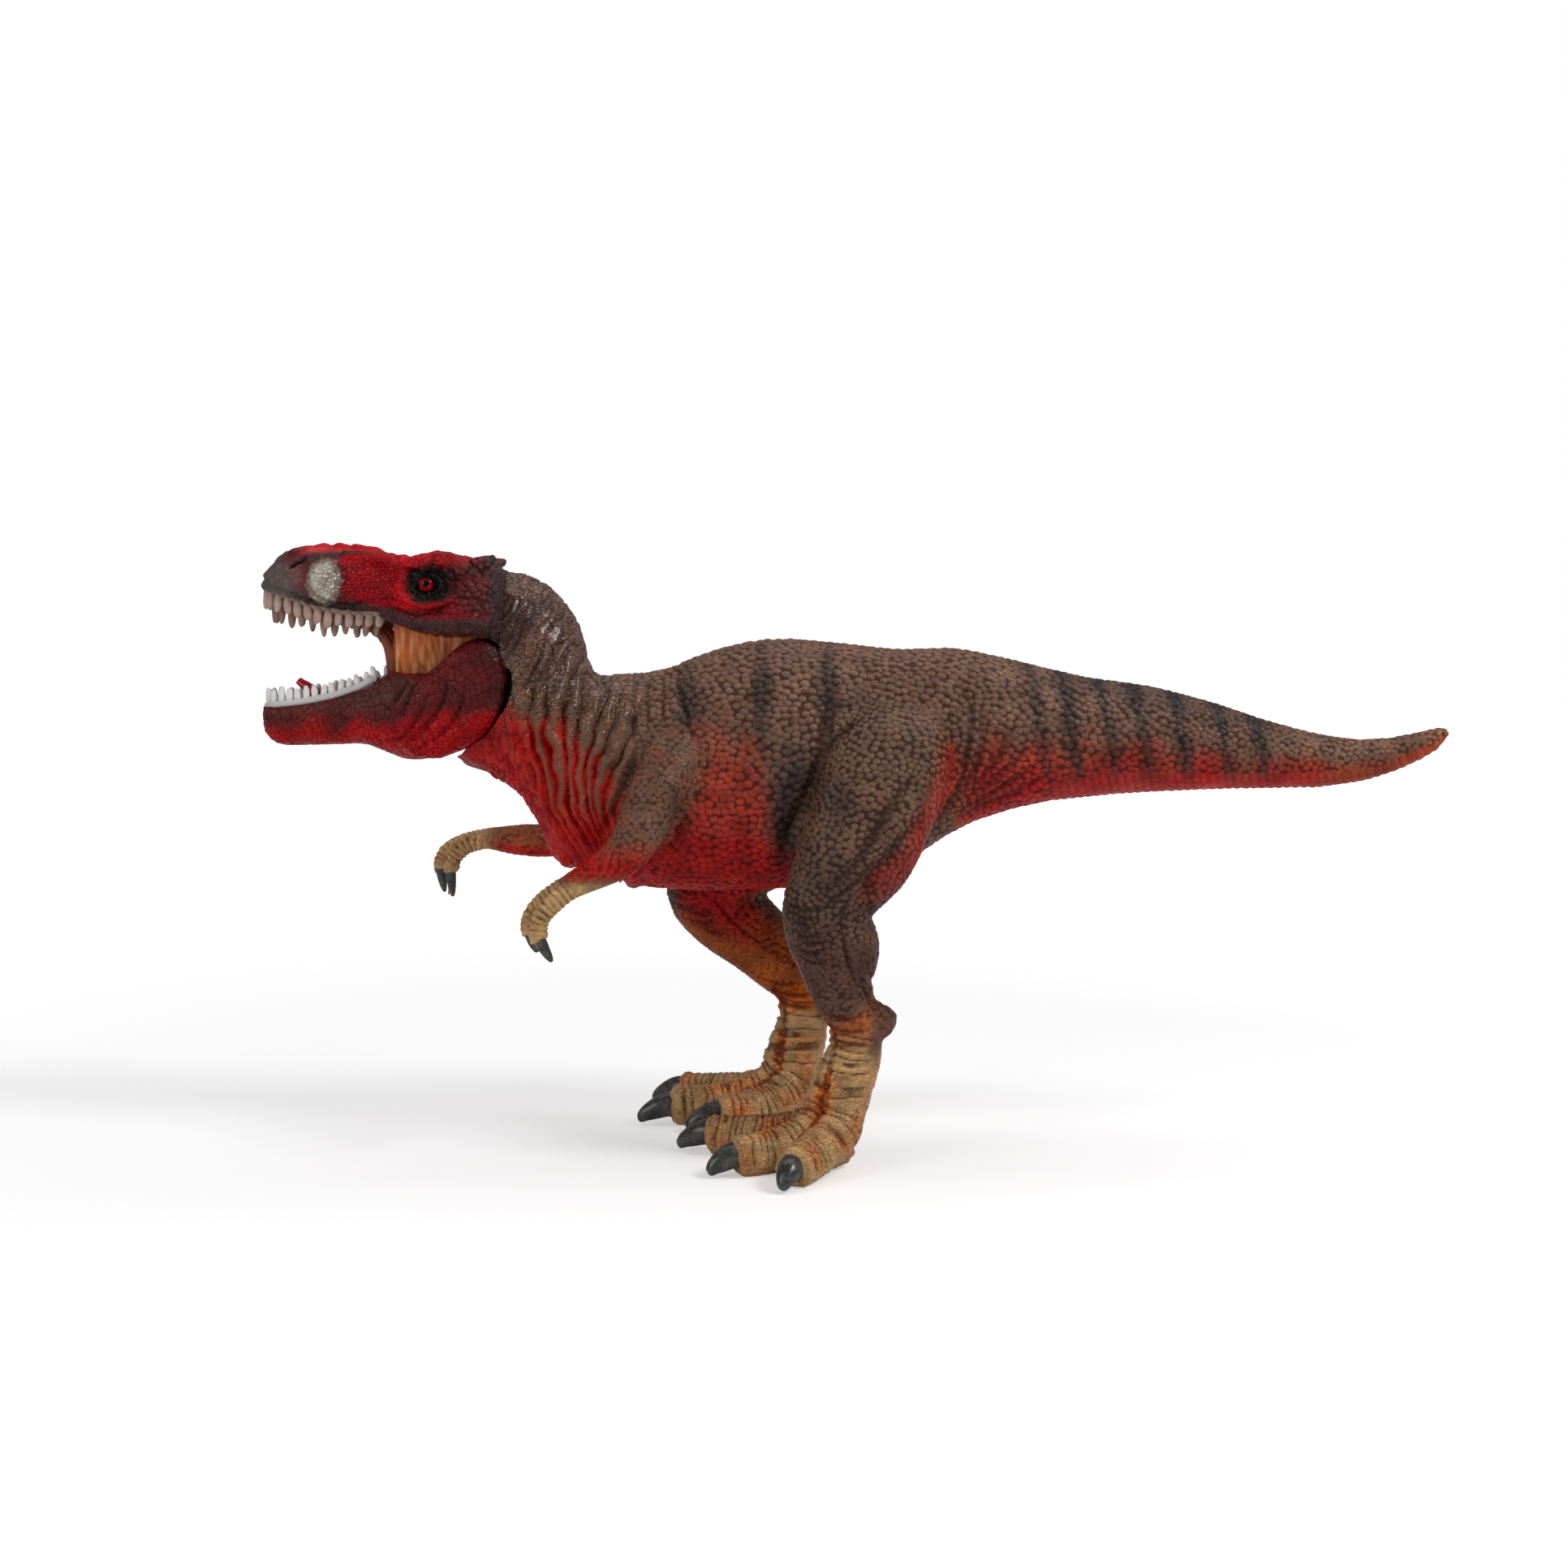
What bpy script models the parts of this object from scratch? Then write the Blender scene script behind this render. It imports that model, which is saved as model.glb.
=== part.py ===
# Toy dinosaur figure with a jaw that opens: vinyl castings glued together, and a jaw turning on a steel pin.
# The figure faces -X, its left side is toward -Y, and it stands on Z = 0. Tables are in millimetres.
import math

import bmesh
import bpy
import numpy as np

MM = 0.001

# Driving dimensions
FIT_GAP = 0.35
JAW_TRAVEL_DEGREES = 25.0
PIVOT_X = -90.6
PIVOT_Z = 106.2
PIN_RADIUS = 1.5
PIN_BORE = 1.6
PIN_HALF_LENGTH = 12.3
CHEEK_INNER_Y = 8.7
CHEEK_CLEARANCE = 0.5
SWEEP_MARGIN_DEGREES = 12
LINING_HALF_WIDTH = 8.3
LINING_RADIUS = 9.2
LINING_FRONT_X = -105.4
LINING_ROOF_Z = 124.0
PALATE_END_X = -102.4
THROAT_DEPTH = 9.8
TAIL_SEAM_X = 46.0
TAIL_PLUG_RADIUS = 8.0
TAIL_PLUG_LENGTH = 9.0
TAIL_PLUG_Z = 95.0
LIMB_MASK_GROWTH = 2.0
LIMB_POWER = 2.2
FIGURE_SHIFT_X = -0.47
FIGURE_SHIFT_Y = 5.28

# Fineness of the skin
BODY_VOXEL = 0.9
HEAD_VOXEL = 0.7
MASK_VOXEL = 1.4
BODY_TRIANGLES = 5000
HEAD_TRIANGLES = 1900
JAW_TRIANGLES = 900
MASK_TRIANGLES = 600

# Trunk, neck and tail: x and z of the back, x and z of the belly below it, half width
SPINE = (
    (-84, 131, -91, 89.8, 12),
    (-78, 132.4, -87.5, 87.4, 14.6),
    (-70.6, 129.2, -82.5, 84.6, 15.2),
    (-64.7, 122.3, -77.3, 81, 15.5),
    (-62, 114.2, -73.5, 76, 15.8),
    (-60, 109, -70.2, 69.5, 16.4),
    (-54, 109, -65, 64, 17.8),
    (-44, 110.2, -52, 60.3, 20),
    (-33, 114.4, -37, 59, 21.6),
    (-20, 117.1, -20, 59.3, 22),
    (-5, 116.3, -5, 60.2, 21),
    (9, 114.8, 9, 64, 19.5),
    (22, 115, 22, 72.3, 17.5),
    (31, 113.5, 31, 76.2, 15.6),
    (42, 110.9, 42, 79.1, 13.4),
    (54, 108.2, 54, 80.6, 11.6),
    (68, 106.2, 68, 81.7, 9.9),
    (82, 102.6, 82, 82.3, 8.3),
    (96, 98.1, 96, 82.6, 6.8),
    (108, 95.1, 108, 82.8, 5.4),
    (119, 93.9, 119, 84.6, 4.3),
    (129, 95.4, 129, 88.3, 3.2),
    (137.3, 97.4, 137.3, 93.1, 1.9),
)

# Main folds of the neck's side: x and z of the points that each runs through
NECK_FOLDS = (
    ((-76, 104), (-74.6, 96), (-72.4, 87), (-70.8, 79), (-66.4, 71.5)),
    ((-67.6, 106), (-68.4, 97), (-67.2, 88), (-65.8, 79), (-61.4, 71)),
    ((-58.8, 105), (-60.6, 97), (-63, 88), (-61.4, 79), (-58.2, 72.5)),
    ((-50.6, 105), (-52.6, 97), (-57, 88.5), (-58, 81), (-56.4, 75)),
)
FOLD_RADIUS = 1.7
FOLD_SINK = 1.0

# Limbs: x, y, z, half width, half depth. The left leg stands back, the right one steps forward.
LEFT_THIGH = (
    (11, -15, 101, 7, 8),
    (9, -17, 94, 11, 13),
    (4.5, -20.5, 83, 11.8, 13.8),
    (-0.1, -24, 71, 11, 13.2),
    (-6.1, -26.5, 61, 9.6, 10.5),
    (-6.6, -27, 54.5, 8.8, 10.2),
    (-4.9, -27, 48.5, 7.6, 9.7),
    (-4.1, -27, 42.5, 6.5, 8.1),
    (-2.9, -26.8, 37.5, 5.6, 6.5),
    (-0.9, -26.5, 31.5, 5.1, 5.7),
    (-0.9, -26.3, 25, 5.1, 6.2),
    (-3.3, -26, 19, 5.7, 6.8),
    (-5.2, -26, 13, 6.4, 7.1),
    (-6, -26, 6.5, 6.2, 5.2),
)
RIGHT_THIGH = (
    (9, 14, 99, 7, 8),
    (3, 17, 91.5, 11, 13),
    (-8, 20, 80.5, 11.8, 14.2),
    (-20, 22.5, 70, 11, 12.8),
    (-31.8, 24, 61.3, 9.7, 10.4),
    (-35.7, 24.4, 56.2, 8.8, 9.6),
    (-30.6, 24.4, 50.4, 8.3, 9.8),
    (-23.5, 24, 44.6, 7.2, 9),
    (-17.6, 23.5, 38.4, 6.2, 7.6),
    (-13.2, 23, 32.5, 5.4, 6.3),
    (-11.8, 22.6, 26.5, 5.1, 5.9),
    (-12.8, 22.3, 20, 5.5, 6.7),
    (-14.7, 22, 13, 6.3, 7.3),
    (-15, 22, 6.5, 6.2, 5.2),
)
# Toes: the last three stations of each are the claw
LEFT_TOES = (
    (
        (-4, -24, 21, 3.2, 4.2),
        (-6, -23.5, 11, 4.4, 5.2),
        (-15.5, -19.8, 6, 4.4, 4.9),
        (-25, -16, 4.6, 4.1, 4.8),
        (-33.2, -13.1, 4.2, 3.9, 4.6),
        (-34.2, -12.8, 4.7, 2.6, 3.3),
        (-37.8, -11.7, 3.7, 2.2, 2.7),
        (-40.8, -10.9, 1.2, 1.1, 1.3),
    ),
    (
        (-4.6, -26, 21.5, 3.4, 4.4),
        (-6.2, -26, 11.5, 4.8, 5.6),
        (-12.8, -29.4, 6.6, 4.7, 5.1),
        (-20, -32.3, 4.6, 4.4, 4.9),
        (-26.8, -34.9, 4.1, 4.2, 4.6),
        (-27.7, -35.3, 4.6, 2.7, 3.3),
        (-30.9, -36.6, 3.5, 2.3, 2.8),
        (-33, -37.5, 1.1, 1.1, 1.3),
    ),
    (
        (-3, -28.4, 20, 3.2, 4.2),
        (-4, -28.5, 10.5, 4.6, 5.4),
        (-8, -35, 6.3, 4.5, 5),
        (-12, -41, 4.5, 4.3, 4.8),
        (-14.6, -46, 4, 4.1, 4.5),
        (-15, -46.8, 4.5, 2.6, 3.2),
        (-16.2, -49.5, 3.4, 2.2, 2.7),
        (-16.9, -51.4, 1.1, 1.1, 1.3),
    ),
)
RIGHT_TOES = (
    (
        (-13.2, 24.4, 21, 3.2, 4.2),
        (-14.6, 24, 10.5, 4.6, 5.4),
        (-23.5, 29.2, 5.9, 4.4, 4.9),
        (-33, 33.8, 4.5, 4.1, 4.7),
        (-41.4, 37.4, 4.1, 3.9, 4.4),
        (-42.3, 37.8, 5, 2.6, 3.4),
        (-46.4, 39.4, 4.6, 2.2, 2.8),
        (-49.4, 40.6, 1.1, 1.1, 1.3),
    ),
    (
        (-14, 22.2, 22, 3.4, 4.4),
        (-15.4, 21.5, 12, 4.8, 5.6),
        (-22, 19.6, 7.2, 4.8, 5.3),
        (-32, 18, 4.8, 4.4, 5),
        (-43.2, 16.7, 4.3, 4.1, 4.7),
        (-44.2, 16.6, 4.9, 2.7, 3.4),
        (-48.6, 16.1, 3.8, 2.3, 2.8),
        (-51.7, 15.8, 1.3, 1.1, 1.3),
    ),
    (
        (-13, 20, 21, 3.2, 4.2),
        (-14, 19, 10.5, 4.6, 5.4),
        (-19.5, 14, 6.2, 4.4, 4.9),
        (-26, 10.4, 4.6, 4.1, 4.6),
        (-31.8, 8.2, 4.1, 3.9, 4.4),
        (-32.7, 7.9, 4.6, 2.6, 3.2),
        (-36.6, 6.9, 3.6, 2.2, 2.7),
        (-39.6, 6.1, 1.2, 1.1, 1.3),
    ),
)
# The pad under the root of the toes
LEFT_SOLE = ((-12, -28.5, 4.2, 5, 4.7), (-7, -26.5, 4.4, 6.6, 4.9), (-3.6, -26, 5.2, 5.2, 4.4), (-2, -26, 6, 3.4, 3))
RIGHT_SOLE = ((-21, 21.5, 4.2, 5, 4.7), (-16, 22, 4.4, 6.6, 4.9), (-12.6, 22.4, 5.2, 5.2, 4.4), (-11, 22.4, 6, 3.4, 3))
LEFT_SPUR = ((0.6, -26.5, 34.6, 3.2, 3.6), (4.6, -26.3, 32.8, 3, 4.1), (7.2, -26.2, 31.6, 2.1, 3.2), (8.1, -26.2, 31.2, 1, 1.7))
RIGHT_SPUR = ((-10.4, 22.6, 29.6, 3.2, 3.6), (-6.4, 22.6, 27.8, 3, 4.1), (-3.8, 22.6, 26.6, 2.1, 3.2), (-2.9, 22.6, 26.2, 1, 1.7))
# Space round each foot and hand that belongs to its limb's casting: two corners
LEFT_FOOT_SPACE = ((-58, -70, -8), (30, -3, 50))
RIGHT_FOOT_SPACE = ((-62, 3, -8), (30, 60, 50))
LEFT_HAND_SPACE = ((-80, -36, 42), (-57, -18.5, 70))
RIGHT_HAND_SPACE = ((-106, 18, 50), (-74, 33, 76))
LEFT_ARM = (
    (-40.5, -15.5, 92, 6.5, 7),
    (-43.2, -20, 86, 6.6, 7),
    (-46.6, -23, 79, 5.9, 6.3),
    (-49.6, -25, 72.3, 5.1, 5.5),
    (-54, -26, 68, 4.3, 4.5),
    (-59.2, -26.3, 65, 3.4, 3.6),
    (-63.6, -26.3, 62.9, 2.8, 3),
)
RIGHT_ARM = (
    (-42, 15, 90, 6.5, 7),
    (-46, 20, 83.5, 6.3, 6.7),
    (-53, 23, 75.5, 5.6, 5.8),
    (-61, 24.6, 69.4, 4.6, 4.7),
    (-70, 25, 68.1, 3.9, 4.1),
    (-79.5, 25, 68.1, 3.6, 4),
    (-88.8, 25, 68.7, 2.7, 2.7),
)
LEFT_FINGERS = (
    (
        (-61, -27, 63.6, 2.4, 2.5),
        (-66, -28.9, 60.3, 2.3, 2.4),
        (-69.8, -30, 56.2, 2.1, 2.3),
        (-70.5, -30, 51.6, 2, 2.1),
        (-69.7, -30, 49, 1.5, 1.6),
        (-67.4, -30, 46.4, 0.6, 0.6),
    ),
    (
        (-61, -25.5, 63.9, 2.2, 2.4),
        (-67.6, -24.4, 61, 2.2, 2.2),
        (-72.3, -23.6, 56.6, 2, 2.1),
        (-73.2, -23.6, 52.2, 1.8, 1.9),
        (-72.8, -23.6, 49.8, 1.4, 1.5),
        (-71.3, -23.6, 47.6, 0.6, 0.6),
    ),
)
RIGHT_FINGERS = (
    (
        (-87, 25.6, 68.8, 2.3, 2.4),
        (-94.5, 26.8, 67.6, 2.2, 2.2),
        (-99, 27.2, 65, 2, 2.1),
        (-100.6, 27.2, 61.4, 1.8, 1.9),
        (-100.9, 27.2, 58.6, 1.2, 1.3),
        (-99.4, 27.2, 55.2, 0.5, 0.5),
    ),
    (
        (-87, 24.2, 68.5, 2.2, 2.3),
        (-92.6, 23, 67.4, 2.1, 2.2),
        (-96.1, 22.6, 64.2, 1.9, 2),
        (-97.3, 22.6, 61, 1.8, 1.9),
        (-97.6, 22.6, 58.4, 1.2, 1.3),
        (-96.8, 22.6, 54.6, 0.5, 0.5),
    ),
)

# Skull: x, height of the top, height of the lip, half width
SKULL = (
    (-136.5, 129.8, 128.7, 2.8),
    (-135.3, 131.2, 127.9, 5.2),
    (-132.5, 134.2, 126.9, 7.4),
    (-128, 136.8, 125.2, 9),
    (-123, 137.6, 123.3, 9.9),
    (-117, 137.2, 122.2, 10.5),
    (-111, 136.4, 121.9, 11.2),
    (-105.5, 135.6, 121.4, 12.6),
    (-100.5, 135.4, 118.6, 14.2),
    (-94, 135.7, 117.5, 15.6),
    (-88, 135, 117, 16.2),
    (-83, 134.2, 114, 15.6),
    (-79.8, 132.4, 110.5, 14),
)
# Knobs along the middle of the snout
CREST_COUNT = 6
CREST_START_X = -126.0
CREST_PITCH = 3.9
CREST_PEAK_X = -117.0
CREST_Z = 137.3
CREST_FALL = 0.0083
CREST_RADII = (2.3, 1.5, 2.1)
EYE = (-96.6, 12.9, 129.3)
EYE_RADII = (2.3, 2.2, 2.3)
TEMPLE = (-85.5, 13.4, 127)
TEMPLE_RADII = (4, 2.9, 4)
# Ridges of one side of the skull: x, y, z, half width, half depth
SNOUT_RIDGE = ((-117, 5.6, 136, 1.4, 1.4), (-110, 7, 135.6, 1.5, 1.5), (-104, 9.5, 134.8, 1.7, 1.7))
BROW = (
    (-105, 10, 133.1, 1.7, 1.7),
    (-98.5, 12.6, 134.2, 2.2, 1.9),
    (-92, 13.3, 134.8, 2.3, 2),
    (-87.5, 13.6, 132, 2.2, 2),
)
CHEEKBONE = (
    (-103.5, 12.3, 127.4, 1.3, 1.3),
    (-98, 14.4, 124.9, 1.6, 1.6),
    (-92, 15.5, 125.6, 1.7, 1.7),
    (-88.5, 15.6, 129, 2.2, 2.2),
)
LIP_RIDGE = (
    (-107, 11.6, 123.4, 1.6, 1.6),
    (-99, 14.6, 120.9, 2.2, 2),
    (-89, 16, 120.4, 2.4, 2.2),
    (-82.5, 15.2, 119.6, 2, 2),
)
NAPE_KNOB = ((-87.5, 8.6, 133.6, 1.9, 1.9), (-83.5, 9.2, 134.6, 1.6, 1.5), (-81.4, 9.6, 135.4, 1, 0.9))

# Lower jaw: x, height of the rim, height of the chin, half width
JAW = (
    (-136.5, 101.6, 96.4, 2.9),
    (-135.2, 102.1, 94, 5),
    (-132, 102.4, 92.5, 6.6),
    (-126, 103.1, 92.5, 7.6),
    (-119.5, 104.4, 92.6, 8.3),
    (-113, 106.6, 92.7, 9),
    (-108, 109.2, 90.8, 10.2),
    (-103, 109.9, 89.1, 12),
    (-98, 109.6, 89.5, 13.4),
    (-93.8, 108, 90.2, 14),
)
# Cheek of the jaw seen from the side: x, z
CHEEK = (
    (-105.6, 109.3),
    (-100.2, 108.6),
    (-96.1, 110.2),
    (-92.7, 113.2),
    (-89.2, 115.9),
    (-85, 117.1),
    (-82.2, 116.2),
    (-79.8, 113.6),
    (-78.8, 109.5),
    (-79.3, 104.6),
    (-80.8, 100.2),
    (-83.6, 96.4),
    (-87.1, 93.6),
    (-91.5, 91.3),
    (-96.3, 90),
    (-102, 91),
    (-105.6, 97),
)
CHEEK_SWELL_X = (-106, -97, -90, -84, -79)
CHEEK_SWELL_Y = (11.4, 14.9, 16.5, 16.4, 15)

LIP_WALL = 0.8
UPPER_TOOTH_COUNT = 25
UPPER_TOOTH_END_X = -106.5
UPPER_TOOTH_LENGTH = 5.4
UPPER_BAND_WIDTH = 1.9
LOWER_TOOTH_COUNT = 25
LOWER_TOOTH_END_X = -110.2
LOWER_TOOTH_LENGTH = 3.3
LOWER_BAND_WIDTH = 1.5
BAND_HEIGHT = 2.4
JAW_WALL = 3.1
JAW_FLOOR = 4.5
TOOTH_ROOT = 1.0
GUM_RISE = 0.3
TOOTH_LEAN = 0.5

# Tongue: x, y, z, half width, half thickness
TONGUE = (
    (-100.5, 0, 97.6, 4.2, 1.3),
    (-107, 0, 98.8, 4.8, 1.5),
    (-115, 0, 100.4, 4.4, 1.5),
    (-121.5, 0, 102.6, 3.6, 1.4),
    (-126, 0, 105.6, 2.6, 1.2),
    (-128.6, 0, 107.4, 1.4, 0.8),
)
BODY_COLOUR = (0.1, 0.055, 0.04)
LIMB_COLOUR = (0.13, 0.075, 0.05)
TAIL_COLOUR = (0.1, 0.055, 0.04)
HEAD_COLOUR = (0.16, 0.02, 0.03)
JAW_COLOUR = (0.25, 0.015, 0.02)
LINING_COLOUR = (0.38, 0.13, 0.03)
TONGUE_COLOUR = (0.45, 0.01, 0.01)
UPPER_TOOTH_COLOUR = (0.38, 0.29, 0.2)
LOWER_TOOTH_COLOUR = (0.75, 0.75, 0.73)
STEEL_COLOUR = (0.6, 0.6, 0.6)


def spline(stations, steps):
    """Rows of a Catmull-Rom curve through the stations."""
    rows = np.array(stations, float)
    padded = np.vstack([2 * rows[0] - rows[1], rows, 2 * rows[-1] - rows[-2]])
    out = []
    for index in range(1, len(padded) - 2):
        before, start, end, after = padded[index - 1 : index + 3]
        for step in range(steps):
            t = step / steps
            out.append(
                start
                + 0.5 * t * (end - before)
                + t * t * (before - 2.5 * start + 2 * end - 0.5 * after)
                + t**3 * (1.5 * (start - end) + 0.5 * (after - before))
            )
    out.append(rows[-1])
    return np.array(out)


def section(half_width, above, below, power_above, power_below, sides):
    """Sideways and upward offsets of one superellipse ring."""
    angles = 2 * math.pi * np.arange(sides) / sides
    across = np.cos(angles)
    upward = np.sin(angles)
    power = np.where(upward >= 0, power_above, power_below)
    height = np.where(upward >= 0, above, below)
    return (
        half_width * np.sign(across) * np.abs(across) ** (2 / power),
        height * np.sign(upward) * np.abs(upward) ** (2 / power),
    )


def closed_shell(rings):
    """Vertices and faces of a skin over the rings, with flat ends."""
    count, sides = rings.shape[:2]
    faces = []
    for ring in range(count - 1):
        for side in range(sides):
            after = (side + 1) % sides
            near = ring * sides
            far = near + sides
            faces.append((near + side, near + after, far + after, far + side))
    faces.append(tuple(range(sides))[::-1])
    faces.append(tuple(range((count - 1) * sides, count * sides)))
    return rings.reshape(-1, 3), faces


def limb_shell(stations, growth=0.0, steps=4, sides=20):
    """A limb: rings square to the path through the stations, the sideways axis kept level with Y."""
    rows = spline(stations, steps)
    path = rows[:, :3]
    tangents = np.gradient(path, axis=0)
    tangents /= np.linalg.norm(tangents, axis=1, keepdims=True)
    path[0] -= tangents[0] * growth
    path[-1] += tangents[-1] * growth
    rings = []
    for row, tangent in zip(rows, tangents):
        sideways = np.array([0.0, 1.0, 0.0]) - tangent[1] * tangent
        sideways /= np.linalg.norm(sideways)
        upward = np.cross(tangent, sideways)
        half_width, half_depth = row[3:] + growth
        across, up = section(half_width, half_depth, half_depth, LIMB_POWER, LIMB_POWER, sides)
        rings.append(row[:3] + np.outer(across, sideways) + np.outer(up, upward))
    return closed_shell(np.array(rings))


def upright_shell(stations, widest, powers, steps=4, sides=28):
    """A form along X with upright rings of x, top, bottom and half width, widest at a share of the height."""
    rings = []
    for x, top, bottom, half_width in spline(stations, steps):
        middle = bottom + widest * (top - bottom)
        across, up = section(half_width, top - middle, middle - bottom, *powers, sides)
        rings.append(np.stack([np.full(sides, x), across, middle + up], axis=1))
    return closed_shell(np.array(rings))


def outline_shell(stations, widest, powers, steps=4, sides=28):
    """A form drawn in side view: each ring stands between a point of the back and one of the belly."""
    rings = []
    for top_x, top_z, low_x, low_z, half_width in spline(stations, steps):
        low = np.array([low_x, 0.0, low_z])
        rise = np.array([top_x, 0.0, top_z]) - low
        across, up = section(half_width, 1 - widest, widest, *powers, sides)
        rings.append(low + np.outer(widest + up, rise) + np.outer(across, [0.0, 1.0, 0.0]))
    return closed_shell(np.array(rings))


def lump_shell(centre, radii, sides=14):
    """An ellipsoid."""
    angles = math.pi * (np.arange(1, sides // 2) / (sides // 2))
    around = 2 * math.pi * np.arange(sides) / sides
    rings = np.array(
        [
            np.stack(
                [
                    np.full(sides, -math.cos(angle)),
                    math.sin(angle) * np.cos(around),
                    math.sin(angle) * np.sin(around),
                ],
                axis=1,
            )
            for angle in angles
        ]
    )
    return closed_shell(rings * np.array(radii) + np.array(centre))


def block_shell(low, high):
    """A box between two corners."""
    (x0, y0, z0), (x1, y1, z1) = low, high
    ring = np.array([(x0, y0, z0), (x0, y1, z0), (x0, y1, z1), (x0, y0, z1)], float)
    return closed_shell(np.array([ring, ring + np.array([x1 - x0, 0.0, 0.0])]))


def lathe_shell(profile, centre, axis, sides=48):
    """A turned form: distances along the axis and radii, through a centre."""
    around = 2 * math.pi * (np.arange(sides) + 0.5) / sides
    rings = []
    for along, radius in profile:
        ring = np.zeros((sides, 3))
        ring[:, axis] = along
        ring[:, (axis + 1) % 3] = radius * np.cos(around)
        ring[:, (axis + 2) % 3] = radius * np.sin(around)
        rings.append(ring + np.array(centre))
    return closed_shell(np.array(rings))


def prism_shell(outline, half_width):
    """A side-view outline of x and z points, extruded both ways from the mid-plane."""
    rings = [[(x, y, z) for x, z in outline] for y in (-half_width, half_width)]
    return closed_shell(np.array(rings, float))


def mesh_from(name, shells):
    """One mesh, in metres, that holds every shell with its faces pointing out."""
    mesh_builder = bmesh.new()
    for points, faces in shells:
        corners = [mesh_builder.verts.new(point * MM) for point in points]
        for face in faces:
            mesh_builder.faces.new([corners[index] for index in face])
    bmesh.ops.recalc_face_normals(mesh_builder, faces=mesh_builder.faces)
    mesh = bpy.data.meshes.new(name)
    mesh_builder.to_mesh(mesh)
    mesh_builder.free()
    return mesh


def add_object(name, mesh, parent):
    """Links an object under a parent, with its mesh where the figure's own coordinates put it."""
    item = bpy.data.objects.new(name, mesh)
    bpy.context.scene.collection.objects.link(item)
    item.parent = parent
    if parent is not figure:
        item.location = -parent.location
    return item


def helper(name, mesh):
    """A guide or cutter, left out of the part."""
    item = add_object(name, mesh, figure)
    item.hide_render = True
    item.display_type = "WIRE"
    return item


def evaluated_mesh(item):
    """The mesh that an object's modifiers make."""
    bpy.context.view_layer.update()
    graph = bpy.context.evaluated_depsgraph_get()
    return bpy.data.meshes.new_from_object(item.evaluated_get(graph))


def triangle_count(mesh):
    mesh.calc_loop_triangles()
    return len(mesh.loop_triangles)


def moulded_mesh(name, shells, voxel, smoothing, triangles):
    """Shells melted into one skin, softened, and thinned to a number of triangles."""
    item = helper(name, mesh_from(name, shells))
    melt = item.modifiers.new("Melt", "REMESH")
    melt.mode = "VOXEL"
    melt.voxel_size = voxel * MM
    soften = item.modifiers.new("Soften", "SMOOTH")
    soften.factor = 0.5
    soften.iterations = smoothing
    thin = item.modifiers.new("Thin", "DECIMATE")
    thin.show_viewport = False
    full = triangle_count(evaluated_mesh(item))
    thin.show_viewport = True
    thin.ratio = min(1.0, triangles / full)
    mesh = evaluated_mesh(item)
    bpy.data.objects.remove(item)
    return mesh


def cut(item, cutter, operation="DIFFERENCE"):
    modifier = item.modifiers.new(operation.title() + " " + cutter.name, "BOOLEAN")
    modifier.operation = operation
    modifier.solver = "EXACT"
    modifier.object = cutter


def swell(item, distance):
    """Grows an object along its normals."""
    modifier = item.modifiers.new("Swell", "DISPLACE")
    modifier.mid_level = 0.0
    modifier.strength = distance * MM


def paint(item, colour, roughness=0.5, metallic=0.0):
    """A plain painted material, and smooth shading over the round forms."""
    material = bpy.data.materials.new(item.name + "_material")
    material.use_nodes = True
    shader = material.node_tree.nodes["Principled BSDF"]
    shader.inputs["Base Color"].default_value = (*colour, 1.0)
    shader.inputs["Roughness"].default_value = roughness
    shader.inputs["Metallic"].default_value = metallic
    item.data.materials.clear()
    item.data.materials.append(material)
    item.data.shade_smooth()
    item.data.set_sharp_from_angle(angle=math.radians(50))


def clear_scene():
    for item in list(bpy.data.objects):
        bpy.data.objects.remove(item)


def both_sides(stations):
    """Stations and their mirror image across the mid-plane."""
    mirrored = [(row[0], -row[1], *row[2:]) for row in stations]
    return [stations, mirrored]


def fold_shells(trunk):
    """Ridges laid on both sides of the neck, sunk partly into the trunk's shell."""
    skin = trunk[0][trunk[0][:, 1] > 0]
    shells = []
    for line in NECK_FOLDS:
        stations = []
        for x, z in line:
            nearest = np.argsort((skin[:, 0] - x) ** 2 + (skin[:, 2] - z) ** 2)[:4]
            y = skin[nearest, 1].mean() - FOLD_SINK
            stations.append((x, y, z, FOLD_RADIUS, FOLD_RADIUS))
        for side in both_sides(stations):
            shells.append(limb_shell(side, sides=10))
    return shells


def body_mesh():
    """Trunk, neck, tail and limbs as one sculpted skin."""
    trunk = outline_shell(SPINE, 0.46, (2.1, 2.3))
    shells = [trunk, *fold_shells(trunk)]
    for stations in (LEFT_THIGH, RIGHT_THIGH, LEFT_ARM, RIGHT_ARM):
        shells.append(limb_shell(stations))
    for stations in (LEFT_SPUR, RIGHT_SPUR, LEFT_SOLE, RIGHT_SOLE):
        shells.append(limb_shell(stations))
    for stations in (*LEFT_TOES, *RIGHT_TOES, *LEFT_FINGERS, *RIGHT_FINGERS):
        shells.append(limb_shell(stations, sides=14))
    return moulded_mesh("body_skin", shells, BODY_VOXEL, 3, BODY_TRIANGLES)


def limb_mask(name, stations_list, space):
    """The space that one limb's casting takes up, with all of the space round its foot or hand."""
    shells = [limb_shell(stations, growth=LIMB_MASK_GROWTH) for stations in stations_list]
    shells.append(block_shell(*space))
    mesh = moulded_mesh(name, shells, MASK_VOXEL, 2, MASK_TRIANGLES)
    return helper(name, mesh)


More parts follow.
